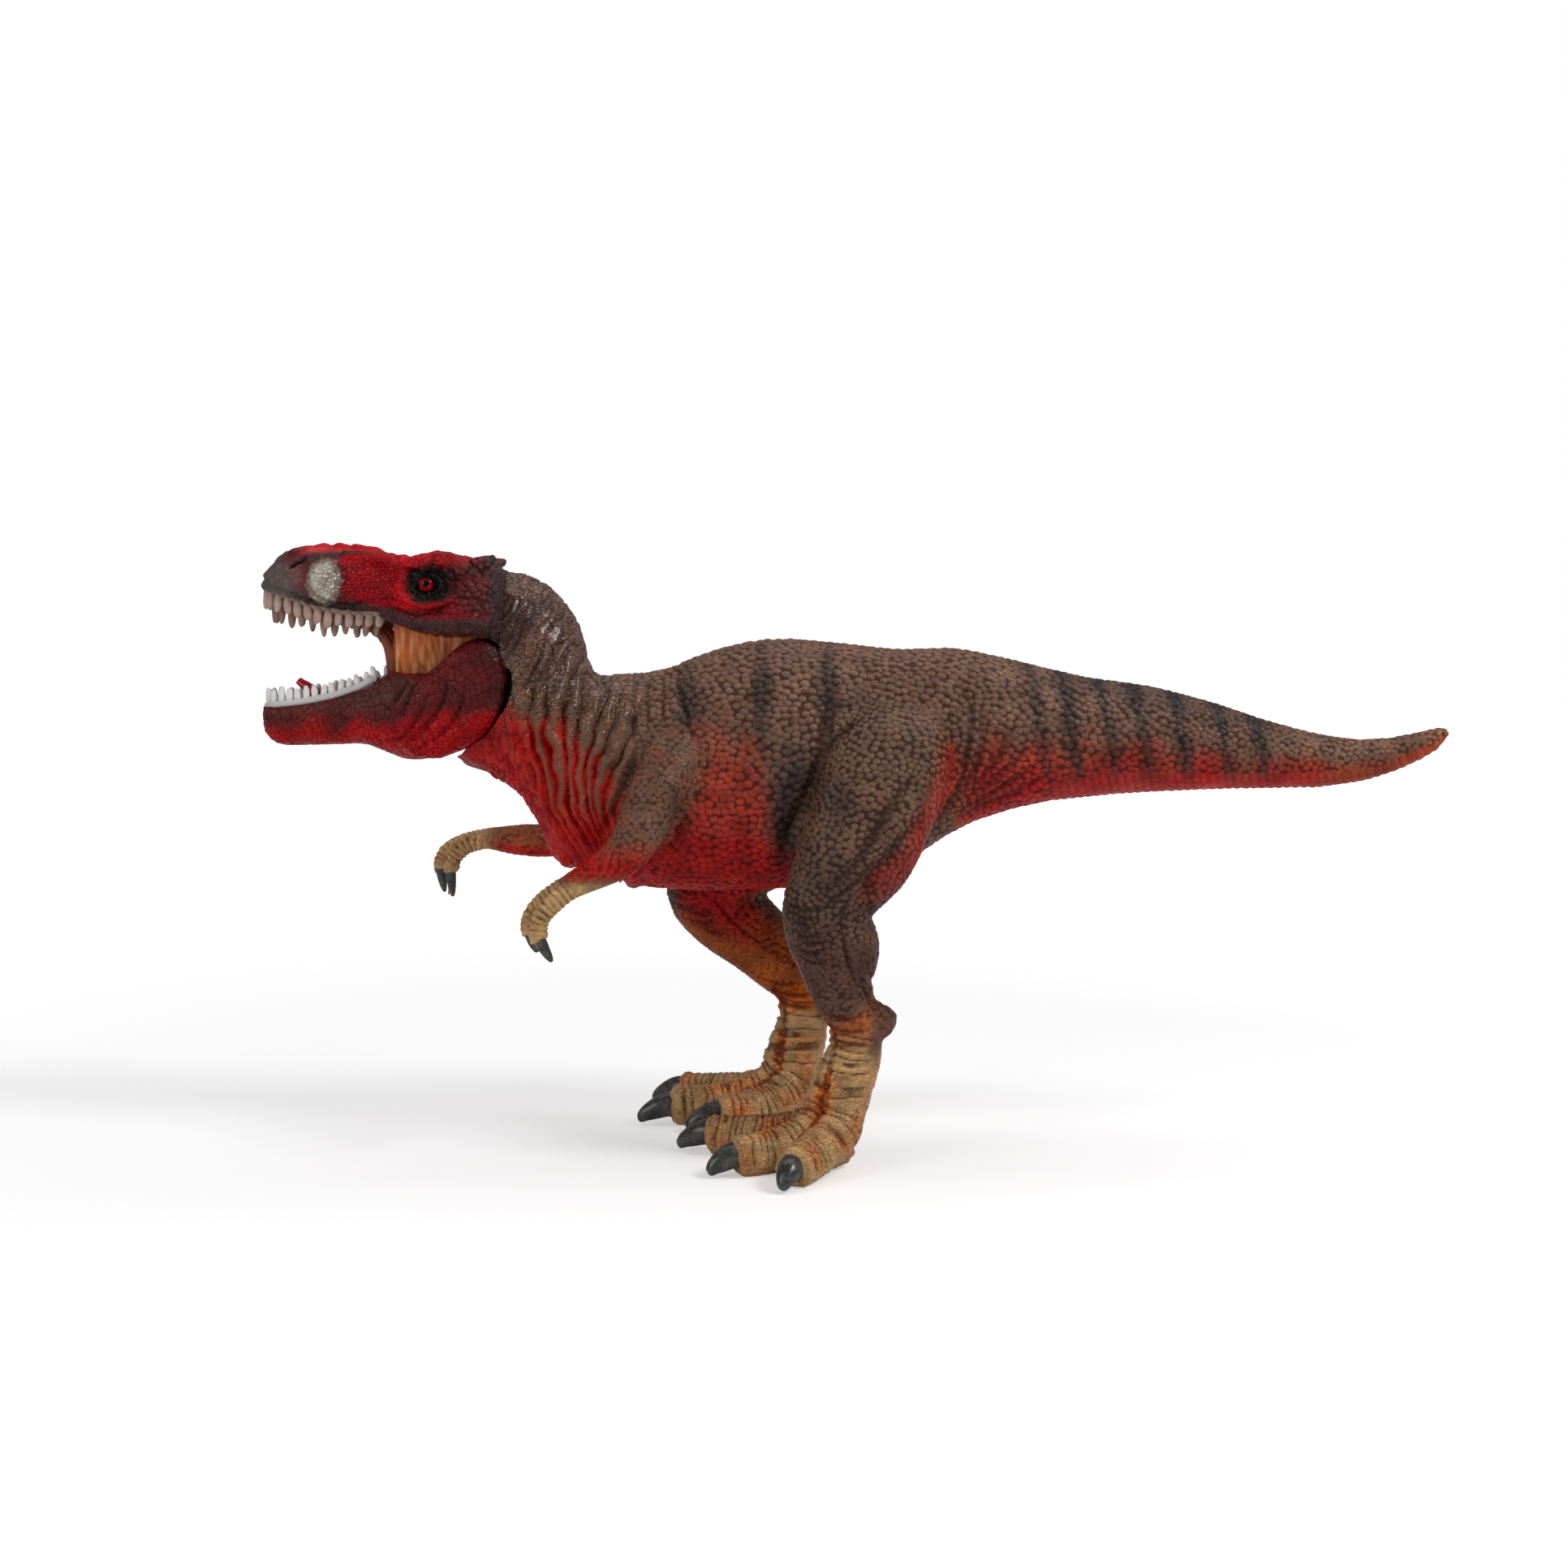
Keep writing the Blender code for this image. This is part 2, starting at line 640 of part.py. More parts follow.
def tail_mask(name, gap):
    """Everything behind the tail's seam, with the round plug ahead of it."""
    profile = (
        (TAIL_SEAM_X - TAIL_PLUG_LENGTH - gap, TAIL_PLUG_RADIUS + gap),
        (TAIL_SEAM_X - gap, TAIL_PLUG_RADIUS + gap),
        (TAIL_SEAM_X - gap, 40.0),
        (TAIL_SEAM_X + 110.0, 40.0),
    )
    return helper(name, mesh_from(name, [lathe_shell(profile, (0, 0, TAIL_PLUG_Z), 0)]))


def head_shells():
    """Skull with its crest, brows, cheeks, eyes and the knobs behind them."""
    shells = [upright_shell(SKULL, 0.36, (2.3, 5.0))]
    for index in range(CREST_COUNT):
        x = CREST_START_X + CREST_PITCH * index
        z = CREST_Z - CREST_FALL * (x - CREST_PEAK_X) ** 2
        shells.append(lump_shell((x, 0, z), CREST_RADII))
    for stations in (SNOUT_RIDGE, BROW, CHEEKBONE, LIP_RIDGE, NAPE_KNOB):
        for side in both_sides(stations):
            shells.append(limb_shell(side, sides=12))
    for centre, radii in ((EYE, EYE_RADII), (TEMPLE, TEMPLE_RADII)):
        for side in (-1, 1):
            shells.append(lump_shell((centre[0], centre[1] * side, centre[2]), radii))
    return shells


def cheek_outline():
    """Smooth closed side view of a cheek."""
    return spline(CHEEK[-2:] + CHEEK + CHEEK[:2], 3)[6:-6]


def cheek_reach(angle):
    """How far the cheek reaches from the hinge toward an angle, at any moment of the jaw's travel."""
    offsets = cheek_outline() - np.array([PIVOT_X, PIVOT_Z])
    angles = np.degrees(np.arctan2(offsets[:, 1], offsets[:, 0]))
    ahead = (angles - angle + 180) % 360 - 180
    inside = (ahead > -SWEEP_MARGIN_DEGREES) & (ahead < JAW_TRAVEL_DEGREES + SWEEP_MARGIN_DEGREES)
    return float(np.linalg.norm(offsets[inside], axis=1).max())


def cheek_shell(side):
    """One round cheek of the jaw: its side view swelling outward from the inner face."""
    outline = cheek_outline()
    centre = outline.mean(axis=0)
    inner = CHEEK_INNER_Y - 1.5
    rings = []
    for share, scale in ((0, 1), (0.5, 1), (0.78, 0.97), (0.92, 0.88), (1, 0.7)):
        ring = centre + scale * (outline - centre)
        swell_y = np.interp(ring[:, 0], CHEEK_SWELL_X, CHEEK_SWELL_Y)
        level = side * (inner + share * (swell_y - inner))
        rings.append(np.stack([ring[:, 0], level, ring[:, 1]], axis=1))
    return closed_shell(np.array(rings))


def jaw_shells():
    """Jaw with a round cheek on each side of the hinge."""
    return [upright_shell(JAW, 0.62, (5.0, 2.5)), cheek_shell(-1), cheek_shell(1)]


def column_at(stations, x, column):
    """One of a form's measures at a place along X."""
    rows = spline(stations, 8)
    return np.interp(x, rows[:, 0], rows[:, column])


def inset_half_width(stations, x, inset):
    """Half width, at a place along X, of a form's plan drawn in by a distance all round."""
    reach = np.linspace(-inset, inset, 25)
    places = x + reach
    widths = np.where(places < stations[0][0], 0.0, column_at(stations, places, 3))
    return float(np.min(widths - np.sqrt(inset**2 - reach**2)))


def inset_tip(stations, inset):
    """Where the drawn-in plan of a form starts."""
    places = np.linspace(stations[0][0], stations[0][0] + 3 * inset + 2, 200)
    return next(x for x in places if inset_half_width(stations, x, inset) > 0)


def dental_arch(stations, inset, end_x, count):
    """Evenly spaced points along the drawn-in plan, from one side round the front to the other."""
    tip = inset_tip(stations, inset)
    turns = np.linspace(-1, 1, 121)
    places = tip + (end_x - tip) * turns**2
    line = np.array(
        [(x, math.copysign(max(0.0, inset_half_width(stations, x, inset)), t)) for x, t in zip(places, turns)]
    )
    steps = np.linalg.norm(np.diff(line, axis=0), axis=1)
    along = np.concatenate([[0], np.cumsum(steps)])
    wanted = np.linspace(0, along[-1], count)
    points = np.stack([np.interp(wanted, along, line[:, k]) for k in (0, 1)], axis=1)
    directions = np.gradient(points, axis=0)
    return points, directions / np.linalg.norm(directions, axis=1, keepdims=True)


def plan_shell(stations, inset, end_x, low, high, count=15):
    """A slab with the drawn-in plan. Low and high are each a column of the stations and an offset from it."""
    tip = inset_tip(stations, inset)
    rings = []
    for turn in np.linspace(0.04, 1, count):
        x = tip + (end_x - tip) * turn**2
        wide = max(0.2, inset_half_width(stations, x, inset))
        bottom = column_at(stations, x, low[0]) + low[1]
        top = column_at(stations, x, high[0]) + high[1]
        rings.append([(x, -wide, bottom), (x, wide, bottom), (x, wide, top), (x, -wide, top)])
    return closed_shell(np.array(rings))


def band_shell(stations, inset, end_x, half_width, column, low, high):
    """The strip that the teeth stand on, following the dental arch between two heights from the lip."""
    points, directions = dental_arch(stations, inset, end_x, 25)
    rings = []
    for (x, y), (along_x, along_y) in zip(points, directions):
        edge = column_at(stations, x, column)
        outward = half_width * np.array([along_y, -along_x])
        ring = []
        for side, height in ((-1, low), (1, low), (1, high), (-1, high)):
            ring.append((x + side * outward[0], y + side * outward[1], edge + height))
        rings.append(ring)
    return closed_shell(np.array(rings))


def tooth_shell(root, direction, length, radius):
    """A blunt peg that leans back toward its tip."""
    along = np.array([direction[0], direction[1], 0.0])
    across = np.array([direction[1], -direction[0], 0.0])
    around = 2 * math.pi * np.arange(5) / 5
    rings = []
    for share, thickness in ((0.0, 0.95), (0.7, 0.95), (1.0, 0.4)):
        centre = np.array(root) + np.array([TOOTH_LEAN * share**2, 0, length * share])
        offsets = np.outer(np.cos(around), along) + 0.8 * np.outer(np.sin(around), across)
        rings.append(centre + thickness * radius * offsets)
    return closed_shell(np.array(rings))


def tooth_row(name, stations, column, way, band_width, end_x, count, length, parent):
    """A strip with its teeth in one piece. They point down where way is -1 and up where it is 1."""
    inset = LIP_WALL + FIT_GAP + band_width / 2
    heights = sorted((-way * (BAND_HEIGHT - FIT_GAP), way * GUM_RISE))
    band = band_shell(stations, inset, end_x, band_width / 2, column, *heights)
    row = add_object(name, mesh_from(name, [band]), parent)
    points, directions = dental_arch(stations, inset, end_x - 1.0, count)
    spacing = np.linalg.norm(points[count // 2] - points[count // 2 - 1])
    crowns = []
    for index, ((x, y), direction) in enumerate(zip(points, directions)):
        share = abs(2 * index / (count - 1) - 1)
        size = 1.0 - 0.2 * (index % 2) - 0.3 * share**4
        root = (x, y, column_at(stations, x, column) - way * TOOTH_ROOT)
        reach = way * (length * size + TOOTH_ROOT)
        crowns.append(tooth_shell(root, direction, reach, 0.45 * spacing))
    cut(row, helper(name + "_crowns", mesh_from(name + "_crowns", crowns)), "UNION")
    return row


def hinge_point(angle, reach):
    """A point of the side view, at an angle and a distance from the jaw's axis."""
    turn = math.radians(angle)
    return (PIVOT_X + reach * math.cos(turn), PIVOT_Z + reach * math.sin(turn))


def cheek_sweep_cutter():
    """The room that the cheeks need through the jaw's travel."""
    angles = np.arange(0, 360, 7.5)
    outline = [hinge_point(angle, cheek_reach(angle) + CHEEK_CLEARANCE) for angle in angles]
    return helper("cheek_sweep", mesh_from("cheek_sweep", [prism_shell(outline, 22.0)]))


def hinge_cutter(name, radius, inner_y, outer_y):
    """A cylinder on the jaw's axis between two distances from the mid-plane."""
    shape = lathe_shell(((inner_y, radius), (outer_y, radius)), (PIVOT_X, 0, PIVOT_Z), 1, 36)
    return helper(name, mesh_from(name, [shape]))


def lining_block(growth=0.0):
    """Throat wall and hinge boss, a side-view outline with a round underside on the hinge's axis."""
    roof = LINING_ROOF_Z + growth
    outline = [(LINING_FRONT_X - growth, roof), (LINING_FRONT_X + 0.8 - growth, 108.4 - growth)]
    for angle in np.linspace(196, 272, 6):
        outline.append(hinge_point(angle, LINING_RADIUS + growth))
    for angle in np.linspace(-76, 50, 9):
        outline.append(hinge_point(angle, cheek_reach(angle) + CHEEK_CLEARANCE - FIT_GAP + growth))
    outline.append((outline[-1][0], roof))
    return prism_shell(outline, LINING_HALF_WIDTH + growth)


def throat_slot():
    """The space in the jaw, between its cheeks, that the lining fills as the jaw turns."""
    outline = (
        (-110.2, 125.0),
        (-109.5, 110.6),
        (-106.4, 103.5),
        (-104.5, PIVOT_Z - THROAT_DEPTH),
        (-94.2, PIVOT_Z - THROAT_DEPTH),
        (-94.2, 80.0),
        (-70.0, 80.0),
        (-70.0, 125.0),
    )
    return helper("throat_slot", mesh_from("throat_slot", [prism_shell(outline, CHEEK_INNER_Y)]))


def build_head():
    """Skull, with a pocket under the lips for the upper teeth and the palate, and room for the lining."""
    mesh = moulded_mesh("head", head_shells(), HEAD_VOXEL, 3, HEAD_TRIANGLES)
    head = add_object("head", mesh, figure)
    pocket = plan_shell(SKULL, LIP_WALL, PALATE_END_X + FIT_GAP, (2, -6.0), (2, BAND_HEIGHT + FIT_GAP))
    cut(head, helper("lip_pocket", mesh_from("lip_pocket", [pocket])))
    cut(head, helper("lining_pocket", mesh_from("lining_pocket", [lining_block(FIT_GAP)])))
    cut(head, cheek_sweep)
    paint(head, HEAD_COLOUR, 0.5)
    mask = helper("head_mask", mesh)
    swell(mask, FIT_GAP)
    return mask


def build_lining():
    """Palate, throat wall and hinge boss in one casting, bored for the pin."""
    lining = add_object("mouth_lining", mesh_from("mouth_lining", [lining_block()]), figure)
    inset = LIP_WALL + 2 * FIT_GAP + UPPER_BAND_WIDTH
    palate = plan_shell(SKULL, inset, PALATE_END_X, (2, 0.9), (2, BAND_HEIGHT))
    cut(lining, helper("palate", mesh_from("palate", [palate])), "UNION")
    cut(lining, hinge_cutter("lining_bore", PIN_BORE, -20.0, 20.0))
    paint(lining, LINING_COLOUR, 0.45)


def build_pin():
    profile = ((-PIN_HALF_LENGTH, PIN_RADIUS), (PIN_HALF_LENGTH, PIN_RADIUS))
    shape = lathe_shell(profile, (PIVOT_X, 0, PIVOT_Z), 1, 24)
    pin = add_object("jaw_pin", mesh_from("jaw_pin", [shape]), figure)
    paint(pin, STEEL_COLOUR, 0.3, 1.0)


def build_jaw():
    """Lower jaw, hollowed between its walls, with a groove for the teeth and blind bores for the pin."""
    mesh = moulded_mesh("lower_jaw", jaw_shells(), HEAD_VOXEL, 4, JAW_TRIANGLES)
    jaw = add_object("lower_jaw", mesh, jaw_hinge)
    hollow = plan_shell(JAW, JAW_WALL, -100.0, (2, JAW_FLOOR), (1, 6.0))
    groove = plan_shell(JAW, LIP_WALL, LOWER_TOOTH_END_X + 0.4, (1, -BAND_HEIGHT - FIT_GAP), (1, 6.0))
    cut(jaw, helper("jaw_hollow", mesh_from("jaw_hollow", [hollow])))
    cut(jaw, helper("tooth_groove", mesh_from("tooth_groove", [groove])))
    cut(jaw, throat_slot())
    for side in (-1, 1):
        ends = sorted((side * (CHEEK_INNER_Y - 1.0), side * (PIN_HALF_LENGTH + FIT_GAP)))
        cut(jaw, hinge_cutter("jaw_bore", PIN_BORE, *ends))
    paint(jaw, JAW_COLOUR, 0.5)


def build_teeth():
    upper = tooth_row(
        "upper_teeth",
        SKULL,
        2,
        -1,
        UPPER_BAND_WIDTH,
        UPPER_TOOTH_END_X,
        UPPER_TOOTH_COUNT,
        UPPER_TOOTH_LENGTH,
        figure,
    )
    paint(upper, UPPER_TOOTH_COLOUR, 0.45)
    lower = tooth_row(
        "lower_teeth",
        JAW,
        1,
        1,
        LOWER_BAND_WIDTH,
        LOWER_TOOTH_END_X,
        LOWER_TOOTH_COUNT,
        LOWER_TOOTH_LENGTH,
        jaw_hinge,
    )
    paint(lower, LOWER_TOOTH_COLOUR, 0.45)


def build_tongue():
    tongue = add_object("tongue", mesh_from("tongue", [limb_shell(TONGUE, sides=10, steps=1)]), jaw_hinge)
    paint(tongue, TONGUE_COLOUR, 0.4)


def build_body(head_mask):
    """Splits the sculpted skin into torso, legs, arms and tail, each with its own seam gap."""
    skin = body_mesh()
    ground = helper("ground", mesh_from("ground", [block_shell((-160, -90, -30), (160, 90, 0))]))
    limbs = {
        "leg_left": ((LEFT_THIGH, LEFT_SPUR, *LEFT_TOES), LEFT_FOOT_SPACE),
        "leg_right": ((RIGHT_THIGH, RIGHT_SPUR, *RIGHT_TOES), RIGHT_FOOT_SPACE),
        "arm_left": ((LEFT_ARM, *LEFT_FINGERS), LEFT_HAND_SPACE),
        "arm_right": ((RIGHT_ARM, *RIGHT_FINGERS), RIGHT_HAND_SPACE),
    }
    masks = {name: limb_mask(name + "_mask", *limb) for name, limb in limbs.items()}
    masks["tail"] = tail_mask("tail_mask", 0.0)
    torso = add_object("torso", skin.copy(), figure)
    for name, mask in masks.items():
        piece = add_object(name, skin.copy(), figure)
        cut(piece, mask, "INTERSECT")
        if name.startswith("leg"):
            cut(piece, ground)
        paint(piece, TAIL_COLOUR if name == "tail" else LIMB_COLOUR, 0.5)
        if name == "tail":
            room = tail_mask("tail_room", FIT_GAP)
        else:
            room = helper(name + "_room", mask.data.copy())
            swell(room, FIT_GAP)
        cut(torso, room)
    cut(torso, head_mask)
    cut(torso, cheek_sweep)
    cut(torso, helper("lining_room", mesh_from("lining_room", [lining_block(FIT_GAP)])))
    paint(torso, BODY_COLOUR, 0.5)


def add_empty(name, location, parent=None):
    empty = bpy.data.objects.new(name, None)
    bpy.context.scene.collection.objects.link(empty)
    empty.location = [value * MM for value in location]
    empty.parent = parent
    return empty


clear_scene()
figure = add_empty("figure", (FIGURE_SHIFT_X, FIGURE_SHIFT_Y, 0))
jaw_hinge = add_empty("jaw_hinge", (PIVOT_X, 0, PIVOT_Z), figure)
cheek_sweep = cheek_sweep_cutter()
build_body(build_head())
build_lining()
build_pin()
build_jaw()
build_teeth()
build_tongue()
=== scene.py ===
import math
from types import SimpleNamespace
import bpy
import numpy as np
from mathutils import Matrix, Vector
from mathutils.bvhtree import BVHTree
from mathutils.kdtree import KDTree


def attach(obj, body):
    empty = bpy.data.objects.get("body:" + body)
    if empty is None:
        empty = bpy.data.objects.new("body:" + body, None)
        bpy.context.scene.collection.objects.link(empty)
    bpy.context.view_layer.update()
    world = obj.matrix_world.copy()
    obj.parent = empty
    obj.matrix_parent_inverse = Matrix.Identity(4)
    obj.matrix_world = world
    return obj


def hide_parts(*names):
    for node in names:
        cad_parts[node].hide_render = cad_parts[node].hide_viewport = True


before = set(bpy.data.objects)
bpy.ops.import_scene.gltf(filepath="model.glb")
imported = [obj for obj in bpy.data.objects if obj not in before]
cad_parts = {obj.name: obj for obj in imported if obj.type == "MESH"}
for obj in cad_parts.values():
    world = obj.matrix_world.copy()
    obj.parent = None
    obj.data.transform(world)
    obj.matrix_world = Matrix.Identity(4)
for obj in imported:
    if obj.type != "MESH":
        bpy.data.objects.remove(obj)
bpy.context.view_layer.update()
print("frame loaded")

# Lengths below are millimetres in the figure's own space; figureShift brings them to the frame
mm = 0.001
figureShift = np.array([-0.47, 5.28, 0.0])

# camera, floor and light, in metres
view = {"place": (-0.01697, -0.51472, 0.119), "look": (0.0, 0.99768, -0.06811), "lens": 51.67, "sensor": 36.0}
studio = {
    "key": {"place": (0.6, -0.34, 0.72), "aim": 0.07, "size": (0.3, 0.3), "power": 4.4},
    "top": {"place": (0.0, 0.16, 0.8), "aim": 0.05, "size": (0.9, 0.45), "power": 1.7},
    "fill": {"place": (-0.62, -0.52, 0.34), "aim": 0.09, "size": (0.4, 0.4), "power": 1.6},
    "roomLight": 0.22, "floorHalf": 3, "floorTone": 0.8, "floorRoughness": 0.6,
    "glowReach": (0.2, 0.9), "glow": (0.42, 0.95),
}


def addCamera():
    data = bpy.data.cameras.new("photoCamera")
    data.lens = view["lens"]
    data.sensor_width = view["sensor"]
    data.clip_start = 0.01
    camera = bpy.data.objects.new("photoCamera", data)
    bpy.context.scene.collection.objects.link(camera)
    camera.location = view["place"]
    camera.rotation_euler = Vector(view["look"]).to_track_quat("-Z", "Y").to_euler()
    bpy.context.scene.camera = camera


def addLamp(name, lamp):
    data = bpy.data.lights.new(name, "AREA")
    data.shape = "RECTANGLE"
    data.size, data.size_y = lamp["size"]
    data.energy = lamp["power"]
    item = bpy.data.objects.new(name, data)
    bpy.context.scene.collection.objects.link(item)
    item.location = lamp["place"]
    aim = Vector((0, 0, lamp["aim"])) - Vector(lamp["place"])
    item.rotation_euler = aim.to_track_quat("-Z", "Y").to_euler()


def addRoom():
    # white to the camera and a plain level of light for the figure
    world = bpy.data.worlds.new("whiteRoom")
    bpy.context.scene.world = world
    world.use_nodes = True
    bench = NodeBench(world.node_tree)
    background = world.node_tree.nodes["Background"]
    background.inputs["Color"].default_value = (1, 1, 1, 1)
    path = bench.put("LightPath")
    seen = bench.math("MAXIMUM", path.outputs["Is Camera Ray"], path.outputs["Is Transmission Ray"])
    bench.wire(bench.span(seen, 0.0, 1.0, studio["roomLight"], 1.0), background.inputs["Strength"])


def addFloor():
    half, tone = studio["floorHalf"], studio["floorTone"]
    mesh = bpy.data.meshes.new("paleFloor")
    corners = [(-half, -half, 0), (half, -half, 0), (half, half, 0), (-half, half, 0)]
    mesh.from_pydata(corners, [], [(0, 1, 2, 3)])
    floor = bpy.data.objects.new("paleFloor", mesh)
    bpy.context.scene.collection.objects.link(floor)
    material, bench, shader = newMaterial("paleFloor")
    shader.inputs["Base Color"].default_value = (tone, tone, tone, 1)
    shader.inputs["Roughness"].default_value = studio["floorRoughness"]
    shader.inputs["Emission Color"].default_value = (1, 1, 1, 1)
    away = bench.put("VectorMath", operation="LENGTH")
    bench.wire(bench.put("TexCoord").outputs["Object"], away.inputs[0])
    glow = bench.span(away.outputs["Value"], *studio["glowReach"], *studio["glow"])
    seen = bench.put("LightPath").outputs["Is Camera Ray"]
    bench.wire(bench.math("MULTIPLY", seen, glow), shader.inputs["Emission Strength"])
    mesh.materials.append(material)


# sums
def clamp(value):
    return np.clip(value, 0, 1)


def ease(low, high, value):
    share = clamp((value - low) / (high - low))
    return share * share * (3 - 2 * share)


def hump(value, middle, width):
    return np.exp(-(((value - middle) / width) ** 2))


def ridges(run):
    # round backs with sharp grooves between, one to a unit
    return np.abs(np.sin(math.pi * run))


def turns(count):
    return 2 * math.pi * np.arange(count) / count


def unit(rows):
    return rows / np.linalg.norm(rows, axis=-1, keepdims=True)


def arcLengths(path):
    return np.concatenate([[0], np.cumsum(np.linalg.norm(np.diff(path, axis=0), axis=1))])


def follow(stations, x, column=1):
    # a drawn line's height at x, from stations that run along X
    rows = np.array(sorted(stations), float)
    return np.interp(x, rows[:, 0], rows[:, column])


# mesh tools
def spline(stations, steps):
    # Catmull-Rom through the rows
    rows = np.array(stations, float)
    padded = np.vstack([2 * rows[0] - rows[1], rows, 2 * rows[-1] - rows[-2]])
    out = []
    for index in range(1, len(padded) - 2):
        before, start, end, after = padded[index - 1 : index + 3]
        for step in range(steps):
            t = step / steps
            out.append(
                start + 0.5 * t * (end - before)
                + t * t * (before - 2.5 * start + 2 * end - 0.5 * after)
                + t**3 * (1.5 * (start - end) + 0.5 * (after - before))
            )
    out.append(rows[-1])
    return np.array(out)


def ringShell(rings):
    # closed skin over equal rings, as points and triangles
    count, sides = rings.shape[:2]
    faces = []
    for ring in range(count - 1):
        for side in range(sides):
            after = (side + 1) % sides
            near, far = ring * sides, (ring + 1) * sides
            faces += [(near + side, near + after, far + after), (near + side, far + after, far + side)]
    points = np.vstack([rings.reshape(-1, 3), rings[0].mean(0), rings[-1].mean(0)])
    first, last = count * sides, count * sides + 1
    for side in range(sides):
        after = (side + 1) % sides
        faces.append((first, after, side))
        faces.append((last, (count - 1) * sides + side, (count - 1) * sides + after))
    return points, np.array(faces)


def limbShell(stations, steps=4, sides=16, power=2.2):
    # stations are x, y, z, half width, half depth
    rows = spline(stations, steps)
    tangents = unit(np.gradient(rows[:, :3], axis=0))
    angles = turns(sides)
    across = np.sign(np.cos(angles)) * np.abs(np.cos(angles)) ** (2 / power)
    upward = np.sign(np.sin(angles)) * np.abs(np.sin(angles)) ** (2 / power)
    rings = []
    for row, tangent in zip(rows, tangents):
        sideways = unit(np.array([0.0, 1.0, 0.0]) - tangent[1] * tangent)
        lift = np.cross(tangent, sideways)
        rings.append(row[:3] + np.outer(across * row[3], sideways) + np.outer(upward * row[4], lift))
    return ringShell(np.array(rings))


def lumpShell(centre, radii, sides=12):
    # a lump with its poles on the X axis
    around = turns(sides)
    rings = []
    for angle in math.pi * np.arange(1, sides // 2) / (sides // 2):
        wide, deep = math.sin(angle) * np.cos(around), math.sin(angle) * np.sin(around)
        rings.append(np.stack([np.full(sides, -math.cos(angle)), wide, deep], axis=1))
    return ringShell(np.array(rings) * np.array(radii) + np.array(centre))


def joinShells(shells):
    points, faces, offset = [], [], 0
    for shellPoints, shellFaces in shells:
        points.append(shellPoints)
        faces.append(shellFaces + offset)
        offset += len(shellPoints)
    return np.vstack(points), np.vstack(faces)


def bothSides(stations):
    return [stations, [(row[0], -row[1], *row[2:]) for row in stations]]


def pointNormals(points, faces):
    a, b, c, d = (points[faces[:, k]] for k in (0, 1, 2, -1))
    flat = np.cross(c - a, d - b) if faces.shape[1] == 4 else np.cross(b - a, c - a)
    normals = np.zeros_like(points)
    for axis in range(3):
        for corner in range(faces.shape[1]):
            normals[:, axis] += np.bincount(faces[:, corner], flat[:, axis], len(points))
    return normals / np.maximum(np.linalg.norm(normals, axis=1, keepdims=True), 1e-9)


def cadShell(name, grow=0.0):
    # a CAD node's skin, moved out along its normals
    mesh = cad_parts[name].data
    points = np.empty(len(mesh.vertices) * 3)
    mesh.vertices.foreach_get("co", points)
    points = points.reshape(-1, 3) / mm - figureShift
    mesh.calc_loop_triangles()
    faces = np.empty(len(mesh.loop_triangles) * 3, dtype=np.int32)
    mesh.loop_triangles.foreach_get("vertices", faces)
    faces = faces.reshape(-1, 3)
    places, back = np.unique(np.round(points, 4), axis=0, return_inverse=True)
    faces = back.reshape(-1)[faces]
    one, two, three = faces.T
    faces = faces[(one != two) & (two != three) & (one != three)]
    return places + grow * pointNormals(places, faces), faces


def meshOf(name, points, faces):
    mesh = bpy.data.meshes.new(name)
    mesh.from_pydata(((points + figureShift) * mm).tolist(), [], faces.tolist())
    return mesh


def meltSkin(shells, voxel):
    # one closed skin of quads round all the shells
    item = bpy.data.objects.new("melt", meshOf("melt", *joinShells(shells)))
    bpy.context.scene.collection.objects.link(item)
    melt = item.modifiers.new("melt", "REMESH")
    melt.mode = "VOXEL"
    melt.voxel_size = voxel * mm
    bpy.context.view_layer.update()
    made = item.evaluated_get(bpy.context.evaluated_depsgraph_get()).to_mesh()
    out = np.empty(len(made.vertices) * 3)
    made.vertices.foreach_get("co", out)
    corners = np.empty(len(made.loops), dtype=np.int32)
    made.loops.foreach_get("vertex_index", corners)
    sizes = np.empty(len(made.polygons), dtype=np.int32)
    made.polygons.foreach_get("loop_total", sizes)
    assert (sizes == 4).all()
    item.to_mesh_clear()
    bpy.data.objects.remove(item)
    return out.reshape(-1, 3) / mm - figureShift, corners.reshape(-1, 4)


def edgePairs(faces):
    sides = faces.shape[1]
    pairs = np.vstack([faces[:, [k, (k + 1) % sides]] for k in range(sides)])
    return np.unique(np.sort(pairs, axis=1), axis=0)


def spread(values, edges, times):
    # averages over neighbours
    flat = values.reshape(len(values), -1).astype(float)
    degree = np.bincount(edges.reshape(-1), minlength=len(flat))[:, None]
    for step in range(times):
        total = np.empty_like(flat)
        for k in range(flat.shape[1]):
            total[:, k] = np.bincount(edges[:, 0], flat[edges[:, 1], k], len(flat))
            total[:, k] += np.bincount(edges[:, 1], flat[edges[:, 0], k], len(flat))
        flat = total / np.maximum(degree, 1)
    return flat.reshape(values.shape)


def polish(points, edges, times):
    # smooths a skin without shrinking it: each step in is followed by a slightly longer one out
    for step in range(times):
        for pull in (0.5, -0.53):
            points = points + pull * (spread(points, edges, 1) - points)
    return points


def patch(points, x, z, wide, tall, soft=0.35):
    # an oval area in side view, 1 inside and 0 outside
    reach = np.hypot((points[:, 0] - x) / wide, (points[:, 2] - z) / tall)
    return 1 - ease(1 - soft, 1 + soft, reach)


def wobble(points, size, seed, waves=7):
    # smooth random field from -1 to 1
    random = np.random.default_rng(seed)
    total = np.zeros(len(points))
    for wave in range(waves):
        direction = random.normal(size=3)
        direction *= random.uniform(0.6, 1.5) * 2 * math.pi / (size * np.linalg.norm(direction))
        total += np.sin(points @ direction + random.uniform(0, 6.28))
    return total / math.sqrt(waves)


